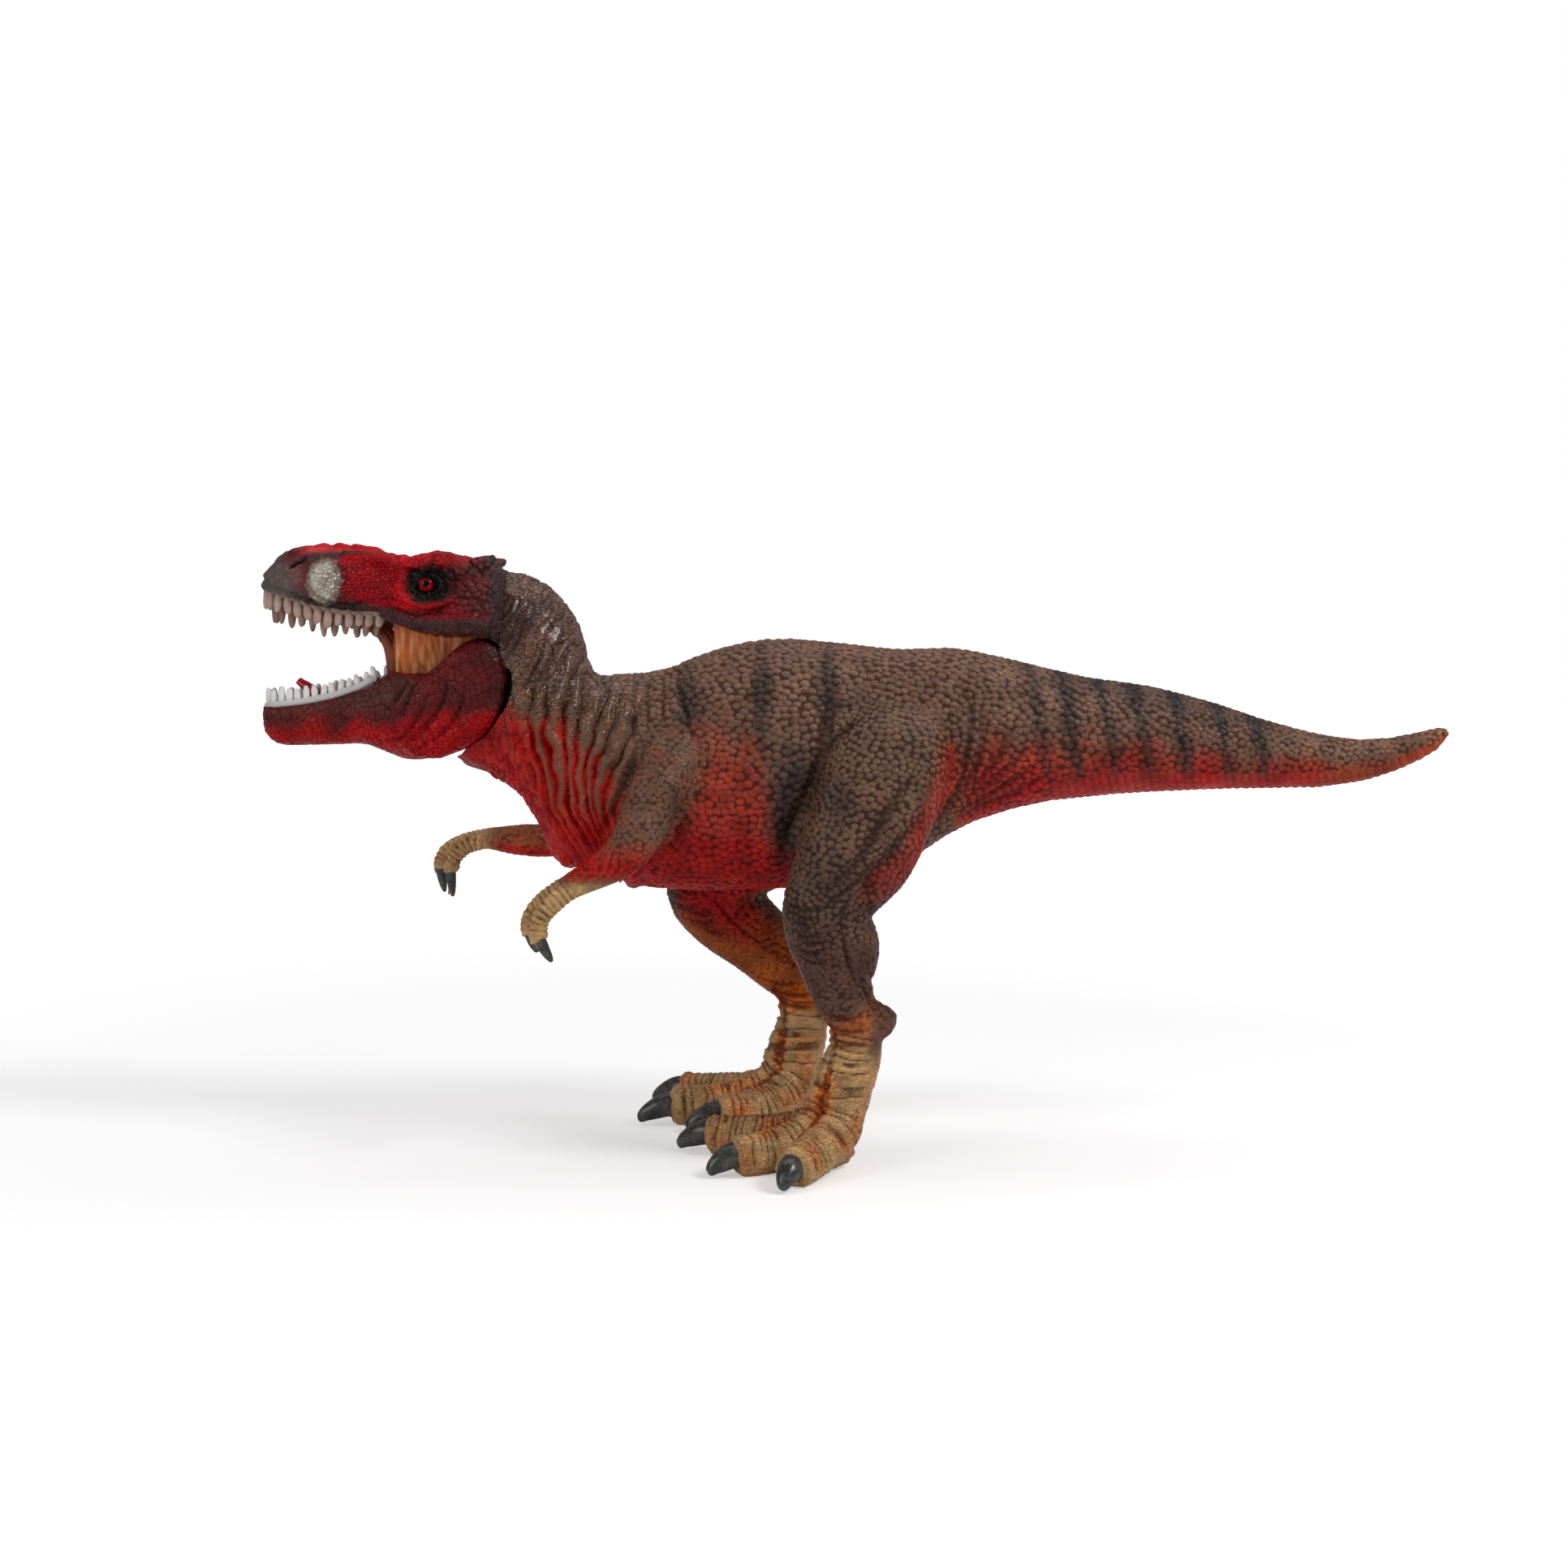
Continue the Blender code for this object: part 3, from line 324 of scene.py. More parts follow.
def scatter(points, spacing, seed, share=0.3):
    # some of the skin's points, no two nearer than the spacing there
    random = np.random.default_rng(seed)
    order = random.permutation(len(points))[: int(share * len(points))]
    cell = float(spacing.max())
    keys = np.floor(points / cell).astype(int).tolist()
    places, gaps = points.tolist(), (spacing**2).tolist()
    grid, chosen = {}, []
    around = [(a, b, c) for a in (-1, 0, 1) for b in (-1, 0, 1) for c in (-1, 0, 1)]
    for index in order.tolist():
        (kx, ky, kz), (x, y, z), gap = keys[index], places[index], gaps[index]
        others = (other for a, b, c in around for other in grid.get((kx + a, ky + b, kz + c), ()))
        if all((ox - x) ** 2 + (oy - y) ** 2 + (oz - z) ** 2 >= gap for ox, oy, oz in others):
            grid.setdefault((kx, ky, kz), []).append((x, y, z))
            chosen.append(index)
    return np.array(chosen)


def nearestSpots(points, spots):
    # index and distance of the nearest spot, and the distance to the border with the next one
    tree = KDTree(len(spots))
    for index, spot in enumerate(spots.tolist()):
        tree.insert(spot, index)
    tree.balance()
    first = np.empty(len(points), dtype=int)
    second = np.empty(len(points), dtype=int)
    for index, point in enumerate(points.tolist()):
        found = tree.find_n(point, 2)
        first[index], second[index] = found[0][1], found[1][1]
    near = np.linalg.norm(points - spots[first], axis=1)
    far = np.linalg.norm(points - spots[second], axis=1)
    apart = np.linalg.norm(spots[first] - spots[second], axis=1)
    return first, near, (far**2 - near**2) / (2 * apart)


scaleShape = {"stretch": (0.92, 0.92, 1.12), "centring": 0.7, "bead": 0.72, "slope": (0.5, 0, 0.86)}


def pebbles(points, spacing, seed, rounds=1):
    # rounded scales: 0 in the grooves and 1 on top, a random number per scale, and the place
    # across the scale from its lower front edge to its upper rear one
    points = points * scaleShape["stretch"]  # scales are wider than tall
    spots = points[scatter(points, spacing, seed)]
    for step in range(rounds):
        first, near, border = nearestSpots(points, spots)
        count = np.maximum(np.bincount(first, minlength=len(spots)), 1)[:, None]
        middle = np.stack([np.bincount(first, points[:, k], len(spots)) for k in range(3)], axis=1) / count
        spots = spots + scaleShape["centring"] * (middle - spots)
    first, near, border = nearestSpots(points, spots)
    flat = 1 - (1 - clamp(border / (0.5 * spacing))) ** 2
    bead = 1 - clamp(near / (scaleShape["bead"] * spacing)) ** 2
    tone = np.random.default_rng(seed + 1).random(len(spots))[first]
    across = (points - spots[first]) @ scaleShape["slope"] / spacing
    return np.sqrt(clamp(np.minimum(flat, bead))), tone, across


def strokes(points, lines, width, fade=True):
    # closeness to side-view lines of x and z, from 0 to 1
    out = np.zeros(len(points))
    flat = points[:, [0, 2]]
    for line in lines:
        path = spline(line, 4)
        low, high = path.min(0) - 3 * width, path.max(0) + 3 * width
        near = np.nonzero(((flat > low) & (flat < high)).all(axis=1))[0]
        if not len(near):
            continue
        best = np.full(len(near), 1e9)
        along = np.zeros(len(near))
        for index in range(len(path) - 1):
            start, step = path[index], path[index + 1] - path[index]
            share = clamp(((flat[near] - start) @ step) / (step @ step))
            distance = np.hypot(*(flat[near] - start - share[:, None] * step).T)
            closer = distance < best
            best[closer] = distance[closer]
            along[closer] = (index + share[closer]) / (len(path) - 1)
        value = np.exp(-((best / width) ** 2))
        if fade:
            value *= np.sin(math.pi * np.clip(along, 0.02, 0.98)) ** 0.4
        out[near] = np.maximum(out[near], value)
    return out


def pathPlace(points, stations):
    # arc length along a limb's path and distance from it in limb thicknesses
    rows = spline(stations, 4)
    lengths = arcLengths(rows[:, :3])
    best = np.full(len(points), 1e9)
    place = np.zeros(len(points))
    for index in range(len(rows) - 1):
        start, step = rows[index, :3], rows[index + 1, :3] - rows[index, :3]
        share = clamp(((points - start) @ step) / (step @ step))
        distance = np.linalg.norm(points - start - share[:, None] * step, axis=1)
        distance /= 0.5 * (rows[index, 3] + rows[index, 4])
        closer = distance < best
        best[closer] = distance[closer]
        place[closer] = (lengths[index] + share * (lengths[index + 1] - lengths[index]))[closer]
    return place, best


def addPiece(mesh, body, nodes, material, fields=None):
    item = bpy.data.objects.new(mesh.name, mesh)
    bpy.context.scene.collection.objects.link(item)
    mesh.materials.append(material)
    mesh.shade_smooth()
    for field, values in (fields or {}).items():
        layer = mesh.attributes.new(field, "FLOAT", "POINT")
        layer.data.foreach_set("value", np.asarray(values, dtype=np.float32))
    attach(item, body)
    if nodes:
        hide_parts(*nodes)


def cutLoops(faces):
    # the open edges of some quads, followed round into loops of points
    half = np.vstack([faces[:, [k, (k + 1) % 4]] for k in range(4)]).astype(np.int64)
    size = int(faces.max()) + 1
    code, reverse = half[:, 0] * size + half[:, 1], half[:, 1] * size + half[:, 0]
    after = {}
    for start, end in half[~np.isin(code, reverse)].tolist():
        after.setdefault(start, []).append(end)
    loops = []
    while after:
        here = next(iter(after))
        loop = []
        while not loop or here != loop[0]:
            loop.append(here)
            ends = after[here]
            step = ends.pop()
            if not ends:
                del after[here]
            here = step
        loops.append(loop)
    return loops


def splitPiece(name, points, faces, labels, wanted):
    # the faces with one label, with every open loop closed by a fan to an inner point
    mine = faces[labels == wanted]
    used, back = np.unique(mine, return_inverse=True)
    place = {int(v): k for k, v in enumerate(used)}
    corners = back.reshape(-1, 4).tolist()
    hubs, seam = [], set()
    for loop in cutLoops(mine):
        for start, end in zip(loop, loop[1:] + loop[:1]):
            corners.append((place[end], place[start], len(used) + len(hubs)))
            seam.add(tuple(sorted((place[start], place[end]))))
        hubs.append(points[loop].mean(0))
    made = np.vstack([points[used], hubs]) if hubs else points[used]
    mesh = bpy.data.meshes.new(name)
    mesh.from_pydata(((made + figureShift) * mm).tolist(), [], corners)
    mesh.update()
    ends = np.empty(len(mesh.edges) * 2, dtype=np.int32)
    mesh.edges.foreach_get("vertices", ends)
    flags = [tuple(sorted(pair)) in seam for pair in ends.reshape(-1, 2).tolist()]
    layer = mesh.attributes.new("sharp_edge", "BOOLEAN", "EDGE")
    layer.data.foreach_set("value", flags)
    return mesh, used, len(hubs)


# body: trunk, neck, tail and limbs
bodySkin = {"voxel": 0.39, "grow": 0.25, "polish": 15, "seed": 5, "sunk": 0.04, "floor": 0.02}
bodyNodes = {
    "torso": "torsoSkin", "leg_left": "leftLegSkin", "leg_right": "rightLegSkin",
    "arm_left": "leftArmSkin", "arm_right": "rightArmSkin", "tail": "tailSkin",
}
scales = {
    "flank": 1.35, "neck": 1.1, "thigh": 1.15, "shin": 1.0, "arm": 0.95, "tailRoot": 1.25, "tailTip": 0.95,
}
scaleHeights = {
    "torso": 0.42, "thigh": 0.32, "shin": 0.18, "arm": 0.14, "tail": 0.34, "tilt": 0.25, "level": 0.62,
}
creaseDepths = {
    "hip": 0.9, "thigh": 1.2, "fine": 0.6, "arm": 1.1, "nape": 0.6, "toeGap": 0.5, "fingerGap": 0.6,
}
creaseWidths = {"hip": 1.0, "thigh": 1.5, "fine": 0.6, "arm": 1.2, "nape": 0.7, "ridge": 0.8}
# per digit: distance between wrinkles, their height, the cuff round the claw and how far the skin sinks there
toeSkin = {"pitch": 1.62, "ridge": 0.72, "cuff": 0.5, "sunk": 1.9}
fingerSkin = {"pitch": 1.3, "ridge": 0.36, "cuff": 0.25, "sunk": 0.8}

# how far the far leg stands before the near one, by height
legStep = (
    (0, 19, 25, 31.5, 37.5, 42.5, 48.5, 54.5, 61, 71, 83, 94, 101),
    (-9, -9.4, -10.7, -12.3, -14.7, -19, -25, -29, -26, -19, -13, -6, -2),
)
leftToes = (
    (
        (-4, -24, 21, 3.2, 4.2), (-6, -23.5, 11, 4.4, 5.2), (-15.5, -19.8, 6, 4.4, 4.9),
        (-25, -16, 4.6, 4.1, 4.8), (-33.2, -13.1, 4.2, 3.9, 4.6), (-40.8, -10.9, 1.2, 1, 1),
    ),
    (
        (-4.6, -26, 21.5, 3.4, 4.4), (-6.2, -26, 11.5, 4.8, 5.6), (-12.8, -29.4, 6.6, 4.7, 5.1),
        (-20, -32.3, 4.6, 4.4, 4.9), (-26.8, -34.9, 4.1, 4.2, 4.6), (-33, -37.5, 1.1, 1, 1),
    ),
    (
        (-3, -28.4, 20, 3.2, 4.2), (-4, -28.5, 10.5, 4.6, 5.4), (-8, -35, 6.3, 4.5, 5),
        (-12, -41, 4.5, 4.3, 4.8), (-14.6, -46, 4, 4.1, 4.5), (-16.9, -51.4, 1.1, 1, 1),
    ),
)
rightToes = (
    (
        (-13.2, 24.4, 21, 3.2, 4.2), (-14.6, 24, 10.5, 4.6, 5.4), (-23.5, 29.2, 5.9, 4.4, 4.9),
        (-33, 33.8, 4.5, 4.1, 4.7), (-41.4, 37.4, 4.1, 3.9, 4.4), (-49.4, 40.6, 1.1, 1, 1),
    ),
    (
        (-14, 22.2, 22, 3.4, 4.4), (-15.4, 21.5, 12, 4.8, 5.6), (-22, 19.6, 7.2, 4.8, 5.3),
        (-32, 18, 4.8, 4.4, 5), (-43.2, 16.7, 4.3, 4.1, 4.7), (-51.7, 15.8, 1.3, 1, 1),
    ),
    (
        (-13, 20, 21, 3.2, 4.2), (-14, 19, 10.5, 4.6, 5.4), (-19.5, 14, 6.2, 4.4, 4.9),
        (-26, 10.4, 4.6, 4.1, 4.6), (-31.8, 8.2, 4.1, 3.9, 4.4), (-39.6, 6.1, 1.2, 1, 1),
    ),
)
leftFingers = (
    (
        (-61, -27, 63.6, 2.4, 2.5), (-66, -28.9, 60.3, 2.3, 2.4), (-69.8, -30, 56.2, 2.1, 2.3),
        (-70.5, -30, 51.6, 2, 2.1), (-67.4, -30, 46.4, 0.6, 0.6),
    ),
    (
        (-61, -25.5, 63.9, 2.2, 2.4), (-67.6, -24.4, 61, 2.2, 2.2), (-72.3, -23.6, 56.6, 2, 2.1),
        (-73.2, -23.6, 52.2, 1.8, 1.9), (-71.3, -23.6, 47.6, 0.6, 0.6),
    ),
)
rightFingers = (
    (
        (-87, 25.6, 68.8, 2.3, 2.4), (-94.5, 26.8, 67.6, 2.2, 2.2), (-99, 27.2, 65, 2, 2.1),
        (-100.6, 27.2, 61.4, 1.8, 1.9), (-99.4, 27.2, 55.2, 0.5, 0.5),
    ),
    (
        (-87, 24.2, 68.5, 2.2, 2.3), (-92.6, 23, 67.4, 2.1, 2.2), (-96.1, 22.6, 64.2, 1.9, 2),
        (-97.3, 22.6, 61, 1.8, 1.9), (-96.8, 22.6, 54.6, 0.5, 0.5),
    ),
)
# the neck's folds: for each height, where along X its nine grooves stand
neckFolds = {
    66: (-64.6, -61.8, -60, -58, -57, -56, -55.4, -54.6, -54),
    72: (-68.6, -65.2, -63.5, -60.6, -59.3, -57.4, -56.6, -55, -54),
    79: (-72.4, -69.2, -67.4, -64.2, -62.6, -60.2, -58.9, -56.6, -54.4),
    88: (-74.2, -70.9, -69, -65.3, -64.2, -61.4, -58.8, -55, -49.5),
    96: (-76.2, -72.6, -70.2, -66.2, -63, -58.8, -55.2, -50.6, -45),
    108: (-78, -73.2, -69.6, -64.6, -61.4, -56.4, -53, -48.4, -44),
}
napeCreases = (
    ((-70.4, 116.8), (-71.2, 113.2), (-73.3, 108.5), (-74.4, 105.9)),
    ((-68.1, 115.8), (-69.7, 111.6), (-71.8, 107.5), (-72.8, 104.4)),
    ((-66.1, 121), (-66.6, 116.8), (-68.7, 112.2), (-69.8, 108.5), (-71.4, 105.9)),
    ((-63.5, 116.8), (-65.6, 113.7), (-66.9, 109.5), (-68.2, 105.4)),
    ((-61.3, 113.2), (-63.4, 110.6), (-64.5, 106.4), (-65.6, 103.3)),
    ((-50.3, 108.3), (-50.6, 103.3), (-50.1, 98.1), (-50.4, 95)),
    ((-47.2, 109.1), (-47.5, 103.3), (-47.3, 97.1), (-49.4, 89.8)),
    ((-44, 109.6), (-43.8, 103.4), (-44.1, 97.1), (-45.7, 91.4)),
    ((-41.2, 110.6), (-40.2, 105.5), (-38.4, 100.3), (-37.9, 95.1)),
    ((-39, 85), (-38.7, 88.6), (-40.8, 91.7), (-44.4, 92.7), (-47.4, 91.2)),
    ((-40.3, 75.7), (-38.7, 80.9), (-37.7, 87.1), (-38.7, 92.2), (-41.3, 94.8)),
)
hipCreases = (
    (
        (22.9, 106.9), (25.3, 102.3), (25.3, 96.1), (24.3, 91), (23.6, 85.8), (21.5, 81.2), (19, 76.5),
        (16.4, 72.4),
    ),
    ((27.5, 102.1), (28.1, 94.9), (26.5, 88.6), (24.5, 84.5), (21.4, 79.8)),
    ((34, 95.8), (31.9, 90.6), (27.8, 85.4), (24.1, 81.7)),
    ((38.8, 92.6), (33.1, 87.4), (28.9, 83.7), (23.7, 80.6)),
    ((41.5, 89.4), (35.3, 85), (28, 80.5), (21.7, 77.3)),
    ((44.8, 87.3), (34.4, 81.5), (28.1, 78.8), (21.3, 75.7)),
)
thighCreases = (
    (
        (-6.5, 107.1), (-7.2, 102.6), (-7.5, 98.5), (-8, 94.5), (-9, 89.4), (-11, 84.3), (-13.5, 78.2),
        (-16, 73.1), (-16.6, 69.1), (-16.8, 63),
    ),
    (
        (11.9, 88.8), (10.9, 85.8), (8, 82.7), (5, 78.2), (2.5, 73.7), (0, 69.7), (-3, 66.7), (-6.5, 63.6),
        (-9, 61.1),
    ),
    ((15, 78.7), (12, 76.2), (9, 73.2), (6, 69.7), (2.5, 66.2), (1.5, 62.6), (1.3, 60.6)),
)
fineCreases = (
    ((-9.9, 103.4), (-7.9, 99.3), (-6.9, 96.3)), ((-5.3, 102.4), (-5.8, 98.3), (-6.3, 95.2)),
    ((1.7, 101), (-1.8, 97.9), (-5.4, 95.4), (-6.9, 92.3)), ((4, 70.7), (-1, 64.6), (-6, 60.6), (-9.5, 58.1)),
    ((-16.6, 60.1), (-13, 58.6), (-9, 58.6), (-4.5, 60.1)), ((-16.3, 58.3), (-12.5, 56.6), (-8.5, 56.6)),
    ((-4.5, 54), (-3.5, 58.6), (-1.5, 63.1)), ((2, 60.1), (3, 57.1), (4, 54)),
    ((-16, 56.6), (-13, 55), (-10, 54.6)), ((-14, 52), (-10, 51), (-6, 52)),
    ((-9, 35), (-4, 33.8), (2, 34.6)), ((-8, 32), (-3, 31), (3, 31.6)), ((-7, 29.4), (-2, 28.4), (3, 28.6)),
    ((-15.8, 54.4), (-12, 52.6), (-8, 53.6)), ((-14.8, 50.2), (-11, 48.6), (-6.5, 50)),
    ((-14, 48), (-10.5, 46.4), (-7, 46.8)),
    ((-4.6, 57), (-3.6, 52), (-2.6, 47), (-0.6, 41)), ((-0.4, 44), (2, 39), (4.4, 34)),
    ((1.6, 46), (4.2, 40), (6.4, 36)),
)
armCreases = (
    ((-48.6, 92), (-51.4, 87), (-53.6, 81), (-56, 75.4), (-59, 71.6)),
    ((-39.5, 88), (-39, 82), (-39.8, 76), (-42.4, 70.6), (-46, 66.6)),
)
napeRidge = (((-70.2, 124.4), (-73.6, 119), (-76.6, 114.4), (-79.2, 110.6)),)
# the neck's edge round the jaw's cheek: how near the skin may come to the hinge, by angle
jawCollar = {
    "x": -90.6, "z": 106.2, "pull": 1.7,
    "angles": (-95, -80, -74, -60, -54, -45, -31, -20, -10, 0, 10, 20),
    "reaches": (15.4, 14.4, 13.6, 12.8, 12.5, 12.2, 12.0, 12.4, 12.7, 13.1, 13.2, 13.2),
}
outline = {
    "x": (-84, -60, -33, -5, 22, 42, 68, 96, 119, 137),
    "back": (131, 109, 114.4, 116.3, 115, 110.9, 106.2, 98.1, 93.9, 96.9),
    "belly": (89.8, 69.5, 59, 60.2, 72.3, 79.1, 81.7, 82.6, 85.4, 93.5),
}
tailTip = {"start": 132, "taperFrom": 133.5, "end": 137, "z": 95.4}


def neckPlace(points):
    # which fold of the neck a point is on, as a running number, and the folds' width there
    heights = sorted(neckFolds)
    table = np.array([neckFolds[height] for height in heights])
    z = np.clip(points[:, 2], heights[0], heights[-1])
    lines = np.stack([np.interp(z, heights, table[:, k]) for k in range(table.shape[1])], axis=1)
    lines = np.hstack([lines[:, :1] - 4, lines, lines[:, -1:] + 5])
    x = np.clip(points[:, 0], lines[:, 0] + 0.01, lines[:, -1] - 0.01)
    index = (lines < x[:, None]).sum(axis=1) - 1
    rows = np.arange(len(points))
    width = lines[rows, index + 1] - lines[rows, index]
    return index + (x - lines[rows, index]) / width, width


def bodyLabels(points, faces, edges):
    # which CAD node each face belongs to, in one clean patch for each
    corners, owners, polygons, offset = [], [], [], 0
    for number, name in enumerate(bodyNodes):
        nodePoints, nodeFaces = cadShell(name)
        corners += nodePoints.tolist()
        polygons += (nodeFaces + offset).tolist()
        owners += [number] * len(nodeFaces)
        offset += len(nodePoints)
    tree = BVHTree.FromPolygons(corners, polygons)
    found = np.array([owners[tree.find_nearest(point)[2]] for point in points.tolist()])
    share = np.eye(len(bodyNodes))[found]
    labels = spread(share, edges, 10)[faces].mean(axis=1).argmax(axis=1)
    half = np.sort(np.vstack([faces[:, [k, (k + 1) % 4]] for k in range(4)]), axis=1)
    order = np.lexsort((half[:, 1], half[:, 0]))
    pairs = (order % len(faces)).reshape(-1, 2)
    parent = list(range(len(faces)))

    def root(index):
        while parent[index] != index:
            parent[index] = parent[parent[index]]
            index = parent[index]
        return index

    for one, two in pairs[labels[pairs[:, 0]] == labels[pairs[:, 1]]].tolist():
        one, two = root(one), root(two)
        if one != two:
            parent[one] = two
    groups = np.array([root(index) for index in range(len(faces))])
    sizes = np.bincount(groups, minlength=len(faces))
    keep = {max(set(groups[labels == k].tolist()), key=lambda g: sizes[g]) for k in range(len(bodyNodes))}
    stray = ~np.isin(groups, list(keep))
    while stray.any():
        for one, two in pairs.tolist():
            if stray[one] and not stray[two]:
                labels[one], stray[one] = labels[two], False
            elif stray[two] and not stray[one]:
                labels[two], stray[two] = labels[one], False
    return labels, spread(share, edges, 30)


def digitFields(points, mask, digits, skin):
    # lift of the wrinkles and the claw's cuff, how far the skin draws in under the claw, where the
    # digit's wrinkles run, the wave they follow, and the channels between neighbours
    lift, under, onDigit, waves, gaps = np.zeros((5, len(points)))
    waves += 1
    near = np.nonzero(mask)[0]
    best, other = np.full((2, len(near)), 1e9)
    place, end = np.zeros((2, len(near)))
    for stations in digits:
        along, away = pathPlace(points[near], stations)
        closer = away < best
        other = np.where(closer, best, np.minimum(other, away))
        best[closer], place[closer] = away[closer], along[closer]
        end[closer] = arcLengths(np.array(stations)[:-1, :3])[-1]
    on = ease(1, 4, place) * (best < 2.4)
    turn = (place - end + 0.25 * wobble(points[near], 6, 22)) / skin["pitch"]
    wave = (0.5 + 0.5 * np.cos(2 * math.pi * turn)) ** 0.6
    body = 1 - ease(-1.4, -0.2, place - end)
    lift[near] = on * body * skin["ridge"] * (wave - 0.65)
    lift[near] += (best < 1.9) * skin["cuff"] * hump(place, end - 0.7, 0.8)
    under[near] = (best < 1.9) * skin["sunk"] * ease(0.0, 0.8, place - end)
    onDigit[near], waves[near] = on * body, wave
    gaps[near] = on * body * (1 - ease(0.05, 0.22, other - best))
    return lift, under, onDigit, waves, gaps


def bodyRegions(points, normals, share):
    # how far each point belongs to each region, from 0 to 1
    at = SimpleNamespace(points=points, normals=normals)
    x, y, z = at.x, at.y, at.z = points.T
    at.outer, at.down = np.abs(y), -normals[:, 2]
    at.torso, at.legL, at.legR, at.armL, at.armR, at.tail = share.T
    at.leg, at.arm = clamp(at.legL + at.legR), clamp(at.armL + at.armR)
    # the far leg drawn back beside the near one, so that both share their creases
    at.straight = points.copy()
    at.straight[:, 0] = np.where(y > 0, x - np.interp(z, *legStep), x)
    at.neck = (1 - ease(-54, -45, x)) * at.torso
    at.low = 1 - ease(102, 110, z)
    at.upperNeck = at.neck * ease(104, 110, z)
    at.throat = at.neck * (1 - ease(-74, -71, x + 0.12 * (z - 84))) * at.low
    behindJaw = 1 - ease(-0.8, 0.8, x + 79 - (z - 110.8) * 0.67)
    at.membrane = at.torso * ease(109, 112, z) * behindJaw * (1 - ease(124, 129, z))
    at.foot = at.leg * (1 - ease(20, 26, z))
    at.shin = at.leg * (1 - ease(48, 60, z)) * (1 - at.foot)
    at.thigh = at.leg * (1 - at.foot) * (1 - at.shin)
    at.hand = at.arm * np.where(y < 0, 1 - ease(62, 67, z), 1 - ease(-90, -84, x))
    at.rearward = ease(30, 60, x)
    back = np.interp(x, outline["x"], outline["back"])
    at.belly = np.interp(x, outline["x"], outline["belly"])
    at.level = (z - at.belly) / np.maximum(back - at.belly, 1)
    at.under = at.rearward * (1 - ease(0.12, 0.3, at.level))
    return at


def scaleRelief(at):
    # rounded scales, sized by where they are, and bands of blocky scutes under the tail
    x, z = at.x, at.z
    legScale = scales["shin"] + (scales["thigh"] - scales["shin"]) * ease(45, 66, z)
    tailScale = np.interp(x, (45, 137), (scales["tailRoot"], scales["tailTip"]))
    spacing = scales["flank"] * at.torso + at.leg * legScale + at.arm * scales["arm"] + at.tail * tailScale
    spacing += at.neck * (scales["neck"] - scales["flank"])
    spacing *= 1 + 0.08 * wobble(at.points, 14, 3)
    at.dome, at.tone, at.across = pebbles(at.points, np.clip(spacing, 0.85, 3), bodySkin["seed"])
    height = scaleHeights["torso"] * at.torso * (1 - 0.75 * at.neck) * (1 - 0.5 * at.upperNeck)
    height += scaleHeights["thigh"] * at.thigh + scaleHeights["shin"] * at.shin * ease(30, 38, z)
    height += scaleHeights["arm"] * (at.arm - at.hand)
    height = (height + scaleHeights["tail"] * at.tail * (1 - 0.45 * ease(80, 130, x))) * (1 - at.membrane)
    lift = height * (at.dome * (1 - scaleHeights["tilt"] * at.across) - scaleHeights["level"])
    at.band = ridges((x + 0.35 * (z - at.belly)) / 1.9)
    return lift + at.under * (0.3 * (at.band**0.6 - 0.7) - 0.5 * height * (at.dome - scaleHeights["level"]))


def neckRelief(at):
    # deep folds below, ropes of skin on the throat, wrinkles above and the pleats behind the jaw
    x, z, points = at.x, at.z, at.points
    at.place, width = neckPlace(points)
    at.place = at.place + 0.16 * wobble(points, 8, 11)
    at.crown = ridges(at.place) ** 0.7
    fine = np.abs(np.sin(2 * math.pi * at.place + 2.2 * wobble(points, 6, 12)))
    depth = at.neck * at.low * np.clip(width / 3.4, 0.3, 1.2) * (1 + 0.3 * wobble(points, 10, 13))
    lift = depth * (1 - 0.7 * at.throat) * (1.95 * (at.crown - 0.6) + 0.3 * (fine - 0.6))
    at.ropes = ease(0.0, 0.6, np.abs(wobble(points * [1.5, 1, 0.6], 4.4, 14)))
    lift += 0.6 * at.throat * (at.ropes - 0.6)
    at.nape = strokes(points, napeCreases, creaseWidths["nape"]) * at.torso
    lift -= creaseDepths["nape"] * at.nape
    at.pleats = ridges((x - 0.5 * (z - 110) + 0.7 * wobble(points * [1, 1, 0.3], 6, 16)) / 1.9)
    border = strokes(points, napeRidge, creaseWidths["ridge"]) * at.torso
    lift += 0.6 * at.membrane * (at.pleats - 0.7) + 0.7 * border
    bumps = np.clip(wobble(points * [1.6, 1.6, 1], 3.6, 15), -0.5, 1.2)
    at.wrinkles = ridges((x - 0.35 * z + 1.2 * wobble(points, 8, 17)) / 2.9)
    return lift + (at.upperNeck - at.membrane) * (0.12 * bumps + 0.55 * (ease(0, 0.5, at.wrinkles) - 0.8))


def creaseRelief(at):
    # creases of hip, thigh, knee, ankle and upper arm
    flank = ease(9, 14, at.outer)
    at.hips = strokes(at.points, hipCreases, creaseWidths["hip"]) * clamp(at.torso + at.tail + at.leg)
    at.thighs = strokes(at.straight, thighCreases, creaseWidths["thigh"]) * clamp(at.leg + at.torso) * flank
    at.creases = strokes(at.straight, fineCreases, creaseWidths["fine"]) * clamp(at.leg + at.torso * 0.7)
    at.creases = at.creases * flank
    sleeve = strokes(at.points, armCreases, creaseWidths["arm"]) * (at.y < 0) * clamp(at.torso + at.arm)
    depth = creaseDepths["hip"] * at.hips + creaseDepths["thigh"] * at.thighs
    depth += creaseDepths["fine"] * at.creases + creaseDepths["arm"] * sleeve * ease(12, 15, at.outer)
    return -depth


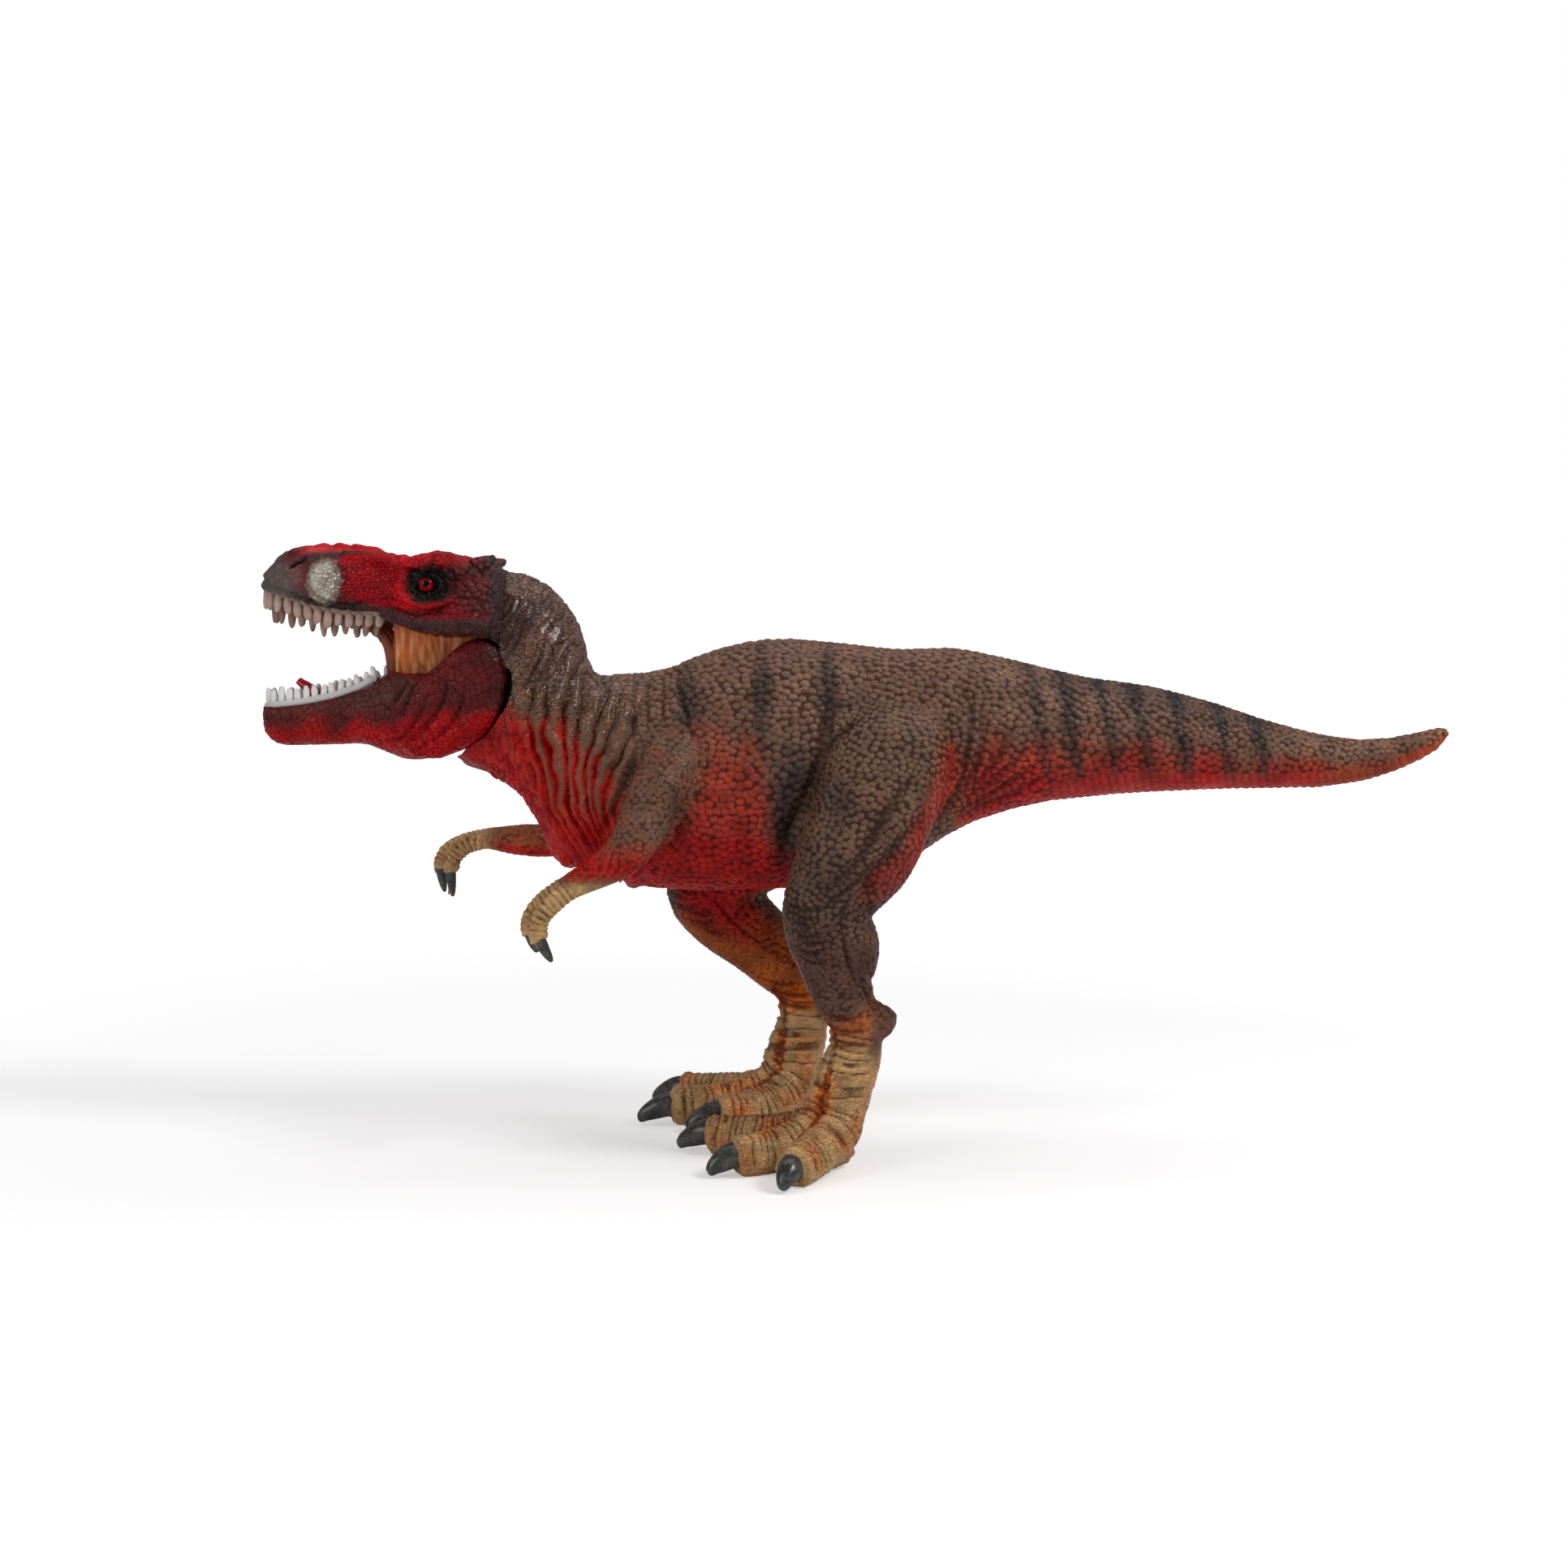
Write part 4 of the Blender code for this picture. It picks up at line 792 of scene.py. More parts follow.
def digitRelief(at):
    # toe plates, finger wrinkles and the room that the claws grow out of
    x, y, z = at.x, at.y, at.z
    lift, at.clawUnder, at.cuffs, toeOn, at.channels = np.zeros((5, len(x)))
    at.scutes = np.ones(len(x))
    facing = 0.35 + 0.65 * ease(8, 12, z)
    facing = at.normals[:, 2] - 1.2 * at.normals[:, 0] * ease(8, 12, z) + facing * np.abs(at.normals[:, 1])
    front = ease(-0.3, 0.3, facing)
    for toes, leg, ankleX, ankleY in ((leftToes, at.legL, -1.2, -26.4), (rightToes, at.legR, -12, 22.6)):
        long = [((ankleX, ankleY + step, 34, 3, 3), *toe) for toe, step in zip(toes, (1.3, 0, -1.3))]
        up, sunk, on, wave, gap = digitFields(at.points, (leg > 0.4) & (z < 34), long, toeSkin)
        lift += up * front
        at.clawUnder += sunk
        toeOn = np.maximum(toeOn, on * front)
        at.scutes = np.minimum(at.scutes, 1 - on * front * (1 - wave) ** 1.6)
        at.cuffs = np.maximum(at.cuffs, ease(0, 0.5, sunk) * (sunk < 1.8))
        at.channels = np.maximum(at.channels, gap * front)
    lift -= creaseDepths["toeGap"] * at.channels
    hands = ((leftFingers, (at.armL > 0.4) & (z < 64)), (rightFingers, (at.armR > 0.4) & (x < -87)))
    for fingers, mask in hands:
        up, sunk, on, wave, gap = digitFields(at.points, mask, fingers, fingerSkin)
        gap = gap * np.where(y < 0, 1 - ease(59.5, 61.5, z), 1 - ease(-96, -94, x))
        lift += up - creaseDepths["fingerGap"] * gap
        at.clawUnder += sunk
        at.scutes = np.minimum(at.scutes, 1 - 0.95 * on * (1 - wave) ** 1.3) * (1 - 0.75 * gap)
    return lift + at.foot * 0.14 * wobble(at.points, 2.2, 21) * (1 - toeOn)


def settleSkin(at, moved, edges):
    # fits the skin to its neighbours: the skull's back, the jaw's cheek, the tail's tip and the claws
    tuck = at.torso * (at.x < -76) * ease(108, 111, at.z) * ease(0.6, 0.9, -at.normals[:, 0])
    moved[:, 0] -= 1.3 * tuck
    spoke = moved[:, [0, 2]] - [jawCollar["x"], jawCollar["z"]]
    reach, angle = np.hypot(*spoke.T), np.degrees(np.arctan2(spoke[:, 1], spoke[:, 0]))
    tip = ease(-84, -90, moved[:, 0]) * ease(97, 92, moved[:, 2])
    wanted = reach - jawCollar["pull"] * (1 - ease(13.6, 19, reach)) * (1 - tip)
    wanted = np.maximum(wanted, np.interp(angle, jawCollar["angles"], jawCollar["reaches"]))
    collar = at.torso * ease(6.5, 8.5, at.outer) * (reach < 19) * ease(-95, -85, angle) * ease(24, 14, angle)
    scale = 1 + collar * (wanted / np.maximum(reach, 1) - 1)
    moved[:, 0] = jawCollar["x"] + spoke[:, 0] * scale - 1.6 * tip * at.torso
    moved[:, 2] = jawCollar["z"] + spoke[:, 1] * scale
    last = moved[:, 0] > tailTip["start"]
    taper = 1 - 0.5 * ease(tailTip["taperFrom"], tailTip["end"], moved[:, 0]) ** 2
    moved[:, 1] *= np.where(last, taper, 1)
    moved[:, 2] = np.where(last, tailTip["z"] + (moved[:, 2] - tailTip["z"]) * taper, moved[:, 2])
    throatTip = at.torso * ease(-82, -86, moved[:, 0]) * ease(99, 95, moved[:, 2])
    calm = np.maximum(throatTip, spread(at.cuffs, edges, 2))[:, None]
    moved += calm * (spread(moved, edges, 6) - moved)
    moved[:, 2] = np.maximum(moved[:, 2], bodySkin["floor"])


def grooveField(at):
    # 0 where the dark wash and the painted shade settle and 1 on top
    plain = clamp(1.3 * at.neck * at.low + at.hand + at.foot + at.leg * (1 - ease(28, 36, at.z)))
    # painted shade: the lower front side of each scale is darker
    shaded = clamp(1.15 * at.dome) * (1 - 0.5 * ease(0.1, 0.5, -at.across))
    shaded = 1 - (1 - shaded) * (1 - 0.75 * at.upperNeck) * (1 - 0.2 * at.arm) * (1 - 0.15 * at.shin)
    grooves = shaded * (1 - plain) + plain * np.minimum(0.55 + 0.45 * at.dome, at.scutes)
    # painted shade in the creases of hip, thigh and nape, in the gaps between pleats, toes and throat ropes,
    # and in the neck's folds below
    grooves = grooves * (1 - 0.85 * clamp(0.9 * at.hips + 0.9 * at.thighs + at.creases + 0.9 * at.nape))
    grooves = grooves - 0.6 * at.membrane * (1 - at.pleats) - 0.45 * at.channels
    grooves = clamp(grooves - 0.75 * (at.upperNeck - at.membrane) * (1 - ease(0, 0.35, at.wrinkles)))
    grooves = np.where(at.under > 0.5, clamp(at.band**0.5), grooves)
    grooves = grooves * (1 - 0.6 * at.throat * (1 - at.ropes))
    folds = at.neck * at.low * (1 - 0.5 * at.below) * (1 - 0.45 * at.throat)
    return grooves * (1 - folds * (0.8 - 0.8 * ease(0.1, 0.5, at.crown))), plain


# oval patches of paint in side view: x, z, half width, half height, softness and strength
redPatches = ((-32, 75, 12, 17, 1.0, 0.72), (-38, 64, 22, 6.5, 0.8, 0.8), (-24, 64, 14, 5, 0.9, 0.4))
flankStripes = ((-38, 101, 2.6, 9), (-21.5, 104, 2.4, 11), (-6.8, 107, 2.3, 9), (-1.5, 100.6, 3.2, 3.4))
tailStripes = {"x": (41.7, 48.9, 57.4, 65, 73.8, 83.6, 92.1), "width": 1.8, "strength": 0.62, "slant": 0.15}
# where the brown of the thigh ends behind, by height, and where the neck's brown ends below, along X
thighEdge = ((55, 60, 66, 72, 80, 88, 95, 103), (2, 4, 10, 16, 21, 24, 25, 24))
neckEdge = ((-80, -72, -66, -60, -55, -48), (104.5, 102.5, 101, 95, 90, 84))


def redField(at, noise):
    x, y, z, legX = at.x, at.y, at.z, at.straight[:, 0]
    flank = sum(strength * patch(at.points, *area) for *area, strength in redPatches)
    drop = z - np.interp(x, *neckEdge) + 1.5 * noise
    grain = 0.16 + 1.7 * (1 - at.crown) + 0.85 * at.below + 0.5 * (1 - ease(1.2, 2.6, at.place))
    neck = at.neck * (1 - ease(-8, 3, drop)) * clamp(grain)
    neck = np.maximum(neck, at.torso * patch(at.points, -55, 68, 7, 9, 0.7))
    behind = ease(-13, 3, legX - np.interp(z, *thighEdge) + 0.6 * noise)
    thigh = 0.85 * at.leg * behind * ease(54, 68, z) * (1 - ease(86, 102, z))
    inner = at.leg * ease(0, 5, 20 - at.outer) * (1 - ease(66, 84, z)) * ease(36, 52, z)
    tail = 0.88 * ease(18, 30, x) * (1 - ease(0.0, 0.7, at.level + 0.06 * noise))
    tail = tail * (1 - 0.5 * ease(95, 116, x))
    below = np.where(y < 0, 1 - ease(67, 75, z + 0.12 * (x + 60)), ease(-0.1, 0.6, at.down))
    arm = 0.72 * at.arm * (1 - at.hand) * below + 0.14 * (at.arm - at.hand)
    return clamp(at.torso * flank * (1 + 0.15 * noise) + neck + thigh + inner + tail * (1 - at.leg) + arm)


def stripeAndShadeField(at, stain):
    x, y, z = at.x, at.y, at.z
    bent = at.points.copy()
    bent[:, 0] += 0.7 * stain
    stripesAndShade = sum(0.72 * patch(bent, *area, 0.75) for area in flankStripes) * at.torso
    # painted shade in the hollow between flank and thigh, at the thigh's front and under the belly beside the
    # thigh; the near thigh darker towards its lower part
    stripesAndShade += 0.85 * patch(at.points, -14, 79, 6, 15, 0.75) * at.torso
    stripesAndShade += 0.5 * patch(at.points, -5.8, 82, 5, 5, 0.8) * at.leg
    stripesAndShade += 0.4 * at.leg * (y < 0) * ease(50, 58, z) * (1 - ease(62, 84, z + 2 * stain))
    stripesAndShade += at.torso * ease(56, 58, x + 68) * (1 - ease(60, 66, z)) * ease(-24, -16, x) * 0.7
    for middle in tailStripes["x"]:
        place = x + 0.5 * stain + tailStripes["slant"] * (z - 95)
        band = tailStripes["strength"] * hump(place, middle, tailStripes["width"])
        stripesAndShade += band * ease(0.0, 0.35, at.level)
    top = 0.3 * at.rearward * ease(0.7, 1.0, at.level) * (1 - ease(85, 105, x))
    return clamp(stripesAndShade + 0.1 * at.tail + top + 0.45 * at.membrane)


def orangeField(at, noise, spurs):
    x, z = at.x, at.z
    orange = 0.6 * at.leg * (1 - ease(33, 39, z + 2 * noise)) * ease(24, 31, z)
    orange += at.foot * np.clip(0.26 + 0.9 * at.channels + 0.34 * noise, 0, 0.9)
    orange += 0.8 * at.leg * (at.y > 0) * ease(24, 34, z) * (1 - ease(44, 56, z))
    orange += 0.6 * at.rearward * (1 - ease(0.0, 0.5, at.level)) * ease(92, 112, x)
    orange += 0.14 * at.tail * ease(88, 106, x) + 0.5 * (at.arm - at.hand) * (at.y > 0)
    return clamp(orange * (1 - 0.85 * spurs))


def paintBody(at):
    # masks that the paints read
    x, y, z = at.x, at.y, at.z
    noise, stain = wobble(at.points, 12, 31), wobble(at.points, 5, 32)
    at.below = 1 - ease(72, 84, z + 0.35 * (x + 65) + 2 * noise)
    grooves, plain = grooveField(at)
    spurs = at.leg * ease(1, 4, at.straight[:, 0]) * hump(z, 30, 8)
    wrist = np.where(y < 0, 1 - ease(61, 66, z), 1 - ease(-92, -84, x))
    tan = at.leg * (1 - ease(26, 33, z + 1.5 * noise)) * (1 - 0.8 * spurs) + at.arm * clamp(wrist)
    purple = 0.9 * at.leg * (1 - ease(46, 66, z + stain)) * ease(33, 42, z + stain) + 0.8 * spurs
    purple += clamp(at.membrane * 1.2 + 0.3 * at.upperNeck)
    scaly = (0.15 + 0.35 * clamp(at.arm + at.shin)) * (1 - plain) * (1 - 0.85 * at.membrane)
    scaly *= (1 - 0.6 * at.upperNeck) * (1 - 0.4 * at.arm) * (1 - 0.7 * clamp(at.hips + at.thighs))
    scaly = np.maximum(scaly, 0.35 * at.hand + 0.2 * at.neck) * np.where(at.under > 0.5, 0.4, 1.0)
    return {
        "relief": grooves, "tone": at.tone, "red": redField(at, noise), "stripeAndShade": stripeAndShadeField(at, stain),
        "orange": orangeField(at, noise, spurs), "tan": clamp(tan), "purple": clamp(purple),
        "gloss": clamp(at.neck * ease(92, 104, z) + 0.3 * at.foot), "scaly": clamp(scaly),
    }


def shapeBody():
    points, faces = meltSkin([cadShell(name, bodySkin["grow"]) for name in bodyNodes], bodySkin["voxel"])
    edges = edgePairs(faces)
    points = polish(points, edges, bodySkin["polish"])
    normals = pointNormals(points, faces)
    points = points - bodySkin["grow"] * normals
    print("body melted:", len(points), "points")
    labels, share = bodyLabels(points, faces, edges)
    at = bodyRegions(points, normals, share)
    lift = scaleRelief(at) + neckRelief(at) + creaseRelief(at) + digitRelief(at)
    lift = lift * np.where(lift < 0, 1, ease(0.2, 1.6, at.z))  # nothing grows into the floor
    moved = points + normals * (lift - at.clawUnder - bodySkin["sunk"])[:, None]
    moved[:, 2] = np.maximum(moved[:, 2], bodySkin["floor"])
    settleSkin(at, moved, edges)
    return moved, faces, labels, paintBody(at)


def buildBody(materials):
    points, faces, labels, fields = shapeBody()
    for number, (node, name) in enumerate(bodyNodes.items()):
        mesh, used, extra = splitPiece(name, points, faces, labels, number)
        mine = {field: np.concatenate([values[used], np.zeros(extra)]) for field, values in fields.items()}
        slot, paint = ("skin", "skin") if node in ("torso", "tail") else ("limb_skin", "limb")
        addPiece(mesh, "figure", [node], materials[paint], mine)
        print(name, len(mesh.polygons), "faces")


clawShape = {"rise": 0.6, "rootLength": 1.8, "lowest": 0.05}
# width, height and upward bend of each claw
clawSets = {
    "leftFootClaws": (leftToes, (2.7, 2.95, 1.1)), "rightFootClaws": (rightToes, (2.7, 2.95, 1.1)),
    "leftHandClaws": (leftFingers, (1.2, 1.35, 0.0)), "rightHandClaws": (rightFingers, (1.1, 1.25, 0.0)),
}


def clawShell(digit, wide, high, hook):
    # a hooked claw growing out of a digit's end
    before, end, tip = (np.array(station[:3], float) for station in digit[-3:])
    root = end - unit(end - before) * clawShape["rootLength"]
    middle = 0.5 * (end + tip) + np.array([0, 0, hook])
    stations = (
        (*root, wide * 0.9, high * 0.9),
        (*(end + [0, 0, clawShape["rise"]]), wide, high),
        (*(0.5 * (end + middle) + [0, 0, 0.25 * hook + 0.3]), wide * 0.97, high * 0.97),
        (*middle, wide * 0.86, high * 0.86),
        (*(0.45 * middle + 0.55 * tip + [0, 0, 0.25 * hook]), wide * 0.62, high * 0.64),
        (*(0.1 * middle + 0.9 * tip), wide * 0.36, high * 0.36),
        (*tip, 0.14, 0.16),
    )
    return limbShell(stations, steps=5, sides=18, power=2.1)


def buildClaws(materials):
    for name, (digits, size) in clawSets.items():
        points, faces = joinShells([clawShell(digit, *size) for digit in digits])
        points[:, 2] = np.maximum(points[:, 2], clawShape["lowest"])
        addPiece(meshOf(name, points, faces), "figure", [], materials["claw"])


# head and jaw
headSkin = {
    "voxel": 0.3, "polish": 9, "seed": 17, "sunk": 0.05, "cheekScale": 0.7, "templeScale": 0.5,
    "crease": 0.45, "creaseWidth": 0.55, "slit": 1.3, "slitWidth": 0.45, "lid": 0.9,
}
jawSkin = {
    "voxel": 0.35, "polish": 10, "seed": 19, "sunk": 0.05, "rim": 0.3, "scale": 0.85, "crease": 0.75,
    "crack": 0.34,
}
eyeShape = {"x": -96.6, "y": 13.25, "z": 129.3, "radius": 1.95, "sunk": 0.9}
beadRow = {"count": 15, "start": -117.5, "length": 15.5, "z": 135, "small": 0.5, "grows": 0.65}

# lip lines of skull and jaw: x, z and half width
skull = (
    (-136.5, 128.7, 2.8), (-135.3, 127.9, 5.2), (-132.5, 126.9, 7.4), (-128, 125.2, 9), (-123, 123.3, 9.9),
    (-117, 122.2, 10.5), (-111, 121.9, 11.2), (-105.5, 121.4, 12.6), (-100.5, 118.6, 14.2),
)
jawRim = (
    (-136.5, 101.6, 2.6), (-135.2, 102.1, 4.8), (-132, 102.4, 6.5), (-126, 103.1, 7.6), (-119.5, 104.4, 8.3),
    (-113, 106.6, 9), (-108, 109.2, 10.2), (-103, 109.9, 12),
)
# rolls laid on one side and mirrored: x, y, z, half width and half depth
browLine = (
    (-105, 10, 133.1, 1.7, 1.7), (-98.5, 12.6, 134.2, 2.2, 1.9), (-92, 13.3, 134.8, 2.3, 2),
    (-87.5, 13.6, 132, 2.2, 2),
)
cheekLine = (
    (-113, 10.4, 125.6, 0.8, 0.8), (-108.5, 11.5, 126.4, 1.2, 1.1), (-104, 12.6, 127.4, 1.5, 1.3),
    (-98, 14.7, 125, 1.7, 1.5), (-92, 15.8, 125.6, 1.7, 1.6), (-88.5, 15.6, 129, 2, 2),
)
lipLine = (
    (-107, 11.6, 123.4, 1.6, 1.6), (-99, 14.6, 120.9, 2.2, 2), (-89, 16, 120.4, 2.4, 2.2),
    (-82.5, 15.2, 119.6, 2, 2),
)
headCreases = (
    ((-124.1, 128.9), (-121.8, 126.6), (-118.5, 125.2), (-113.8, 124.8), (-109.3, 125.9), (-106, 128)),
    ((-105.5, 124.9), (-99.5, 122.8), (-93.5, 123.4), (-90, 125.6)),
    ((-104, 133.2), (-100.6, 132.2), (-98.4, 132.4)),
    ((-134.5, 129.6), (-128, 127.2), (-122, 124.9), (-116.5, 123.9), (-110.5, 123.7)),
    ((-91.4, 133.2), (-89.6, 129.5), (-90, 126.4)),
)
jawCreases = (
    ((-103.5, 92.5), (-97.6, 97), (-93.2, 103), (-92, 109.5)),
    ((-100, 91.6), (-94.4, 95.5), (-89.6, 101), (-88, 107)),
    ((-109.5, 93.4), (-104, 94.6), (-99.5, 98.8), (-96.6, 104.5)),
    ((-106.4, 101), (-103.6, 104.4), (-101.4, 108)),
    ((-103.4, 99.6), (-101.4, 103.6), (-99.4, 107.6)),
)


snoutRidge = (
    (-135.2, 0, 130.5, 3, 1.8), (-133.2, 0, 132.4, 3, 2), (-131.3, 0, 134.5, 3, 2),
    (-128.8, 0, 136.1, 2.6, 2.1), (-125, 0, 136.6, 2, 2),
)
crestTops = (
    (-130.5, 137.2), (-126.4, 138.7), (-122.4, 139.2), (-118.3, 139.2), (-114.1, 138.9), (-110, 138.1),
    (-107.2, 136.5), (-104, 135.8),
)
# knobs over the eye and along the back of the skull: x, y, z and radius
knobs = (
    (-105.4, 9.2, 133.9, 1.6), (-102.2, 10.6, 134.1, 1.6), (-85.6, 9.6, 133.9, 1.5), (-83.6, 10, 134.2, 1.3),
    (-82.4, 9.6, 135.2, 0.9), (-84.2, 6.4, 134.2, 1.3), (-82.8, 3.2, 134, 1.2),
)
beadWidths = ((-117.5, 6.7), (-110, 7.9), (-104, 9.9), (-100, 11.5))
lipTops = ((-136, 128.9), (-123, 124), (-111, 122.4), (-105, 121.6), (-98, 119), (-84, 118.5))
jawEdge = ((-136, 97), (-126, 97), (-113, 97.4), (-104, 98.4), (-98, 99.6), (-90, 100.2), (-80, 101))
nostril = (((-128.6, 133.5), (-127.1, 134.5), (-125.6, 135.4)),)
beadPaint = (((-118, 135), (-110, 135), (-104, 135), (-99, 134.6)),)
cheekPaint = (((-112, 126.5), (-105.5, 127), (-99, 125), (-91, 124.4)),)
crestPaint = (((-130, 135), (-122, 135.3), (-114, 136), (-108, 136)),)


def headShells():
    # the CAD head with brows, cheek bones, lips, crest, beads and knobs laid on
    shells = [cadShell("head")]
    for line in (browLine, cheekLine, lipLine):
        shells += [limbShell(side, sides=12) for side in bothSides(line)]
    shells.append(limbShell(snoutRidge, sides=12))
    for x, top in crestTops[1:-2]:
        shells.append(lumpShell((x, 0, top - 2.2), (3.2, 1.5, 2.2)))
    for side in (-1, 1):
        for share in np.linspace(0, 1, beadRow["count"]):
            x = beadRow["start"] + beadRow["length"] * share**0.9
            size = beadRow["small"] + beadRow["grows"] * share**1.6
            place = (x, side * follow(beadWidths, x), beadRow["z"] + 0.1 * share)
            shells.append(lumpShell(place, (size, size, size)))
        for x, y, z, size in knobs:
            shells.append(lumpShell((x, side * y, z), (size, size, size)))
    return shells


def headRegions(points, normals, crestTop):
    at = SimpleNamespace(points=points, normals=normals, crestTop=crestTop)
    x, y, z = at.x, at.y, at.z = points.T
    at.side = ease(0.15, 0.5, np.abs(normals[:, 1])) * ease(4, 6, np.abs(y))
    at.outer = ease(0.0, 0.35, np.abs(normals[:, 1]) + clamp(normals[:, 2]))
    at.temple = patch(points, -86.4, 128.8, 5.2, 6, 0.4) * at.side
    at.cheek = patch(points, -111, 129.6, 11, 5.6, 0.3) * at.side
    at.lips = at.side * (1 - ease(1.8, 3.8, z - follow(lipTops, x)))
    at.crest = ease(-3.2, -2.0, z - crestTop) * (np.abs(y) < 6)
    at.crest = at.crest * ease(-132, -129, x) * (1 - ease(-108, -105, x))
    at.tip = 1 - ease(-129, -122, x)
    at.rearHalf = ease(-104, -96, x)
    at.eyeX, at.eyeZ = x - eyeShape["x"], z - eyeShape["z"]
    at.ring = np.hypot(at.eyeX / 1.2, at.eyeZ / 0.9)
    at.socket = (1 - ease(5.2, 6.2, at.ring)) * at.side
    at.creases = strokes(points, headCreases, headSkin["creaseWidth"]) * at.side
    at.slit = strokes(points, nostril, headSkin["slitWidth"], fade=False) * at.side
    return at


def headRelief(at):
    x, z, points, side, ring = at.x, at.z, at.points, at.side, at.ring
    spacing = headSkin["cheekScale"] + headSkin["templeScale"] * at.temple + 0.15 * at.rearHalf
    at.dome, at.tone, across = pebbles(points, spacing, headSkin["seed"])
    height = at.outer * (0.06 + 0.55 * at.temple + 0.16 * at.cheek + 0.06 * at.rearHalf)
    height = height * (1 - 0.75 * at.tip) * (1 - at.crest) * ease(0.2, 0.5, ease(118, 122, z) + side)
    lift = height * (at.dome * (1 - 0.8 * across) - 0.6) - headSkin["crease"] * at.creases
    # eye socket with its rings of wrinkles, and the upper lid that stands over the eye
    lift -= side * eyeShape["sunk"] * (1 - ease(1.9, 2.6, ring))
    bent = ring + 0.22 * wobble(points, 3.4, 44)
    rings = 0.36 * np.cos(2 * math.pi * (bent - 2.45) / 1.05) * np.where(at.eyeX > -1, 1.0, 0.45)
    lift += at.socket * ease(1.8, 2.2, ring) * rings * (1 - 0.1 * ring)
    lift += side * headSkin["lid"] * hump(ring, 2.3, 0.6) * ease(0.2, 1.6, at.eyeZ)
    lift -= headSkin["slit"] * at.slit
    # wrinkled lip edge and lumpy cheek
    lift += at.lips * 0.1 * np.sin(2 * math.pi * (x + 0.5 * wobble(points, 4, 41)) / 1.1)
    lumps = np.clip(wobble(points * [1, 1, 1.4], 2.6, 45), -0.8, 1.2)
    lift += 0.22 * side * ease(-110, -104, x) * (1 - ease(123.5, 126, z)) * lumps
    return lift + 0.1 * at.outer * wobble(points, 3.0, 42)


def paintHead(at):
    x, z, points, side = at.x, at.z, at.points, at.side
    noise = wobble(points, 5, 43)
    # painted shade: the nostril slit and the creases are darkened through the relief
    wornAndShaded = (1 - at.slit) * (1 - 0.8 * at.creases)
    grooves = 0.3 + 0.7 * clamp(at.dome) * wornAndShaded * (1 + 0.5 * at.temple) + 0.5 * at.tip + at.crest
    grooves = clamp(grooves) * (1 - at.slit) * (1 - 0.7 * at.creases)
    rear = ease(-84.5, -80.5, x + 0.3 * noise)
    cream = patch(points, -120.3, 129.9, 3.3, 4.4, 0.6) * side
    red = 0.95 * side * patch(points, -107.5, 129.6, 10, 5.4, 0.8) * ease(-124, -110, x + 0.4 * (z - 130))
    red += 0.85 * at.crest * ease(-3.1, -1.3, z - at.crestTop) * ease(-130, -124, x)
    red += strokes(points, beadPaint, 1.0, fade=False) * ease(4.5, 6, np.abs(at.y)) * ease(-119, -115, x)
    red += 0.75 * strokes(points, cheekPaint, 2.1) + 0.1 * at.temple
    red += 0.55 * patch(points, -95, 135.4, 9, 2.2, 0.9) + 0.4 * patch(points, -104, 131, 6, 4, 0.9)
    red = red * (1 - cream) * (1 - 0.8 * rear) * (1 - 0.8 * at.lips)
    grey = clamp(1 - ease(-133, -121, x + 0.35 * (z - 130) + 0.6 * noise)) * (1 - at.crest)
    grey += 0.45 * patch(points, -83.4, 134.6, 4, 2.2, 0.8)
    black = (1 - ease(3.0, 6.8, at.ring + 0.4 * noise - 0.06 * at.eyeX)) * side + 1.2 * at.slit
    # dark paint on the lips, the back edge and the temple; the term (1 - at.outer) is painted shade where the
    # skin turns away from the sides and the top
    dark = at.lips * 0.8 + rear + 0.45 * at.temple + 0.3 * patch(points, -94, 134, 7, 3, 0.8) + (1 - at.outer)
    dark += strokes(points, crestPaint, 0.7) * 0.5 * (1 - at.crest)
    scaly = at.outer * clamp(0.35 + 0.65 * at.cheek) * (1 - at.crest) * (1 - 0.8 * at.tip)
    scaly *= (1 - 0.8 * at.lips) * (1 - 0.7 * at.temple) * (1 - 0.75 * at.socket)
    return {
        "relief": grooves, "tone": at.tone, "red": clamp(red), "cream": cream, "grey": clamp(grey),
        "black": clamp(black), "dark": clamp(dark), "gloss": clamp(black), "scaly": clamp(scaly),
    }


def shapeHead():
    points, faces = meltSkin(headShells(), headSkin["voxel"])
    points = polish(points, edgePairs(faces), headSkin["polish"])
    crestTop = follow(crestTops, points[:, 0])
    onCrest = (points[:, 0] < -103) * (np.abs(points[:, 1]) < 5)
    points[:, 2] -= 0.85 * np.clip(points[:, 2] - crestTop, 0, 9) * onCrest
    normals = pointNormals(points, faces)
    at = headRegions(points, normals, crestTop)
    moved = points + normals * (headRelief(at) - headSkin["sunk"])[:, None]
    moved[:, 1] *= 1 - 0.07 * ease(-82, -80, at.x)
    return moved, faces, paintHead(at)


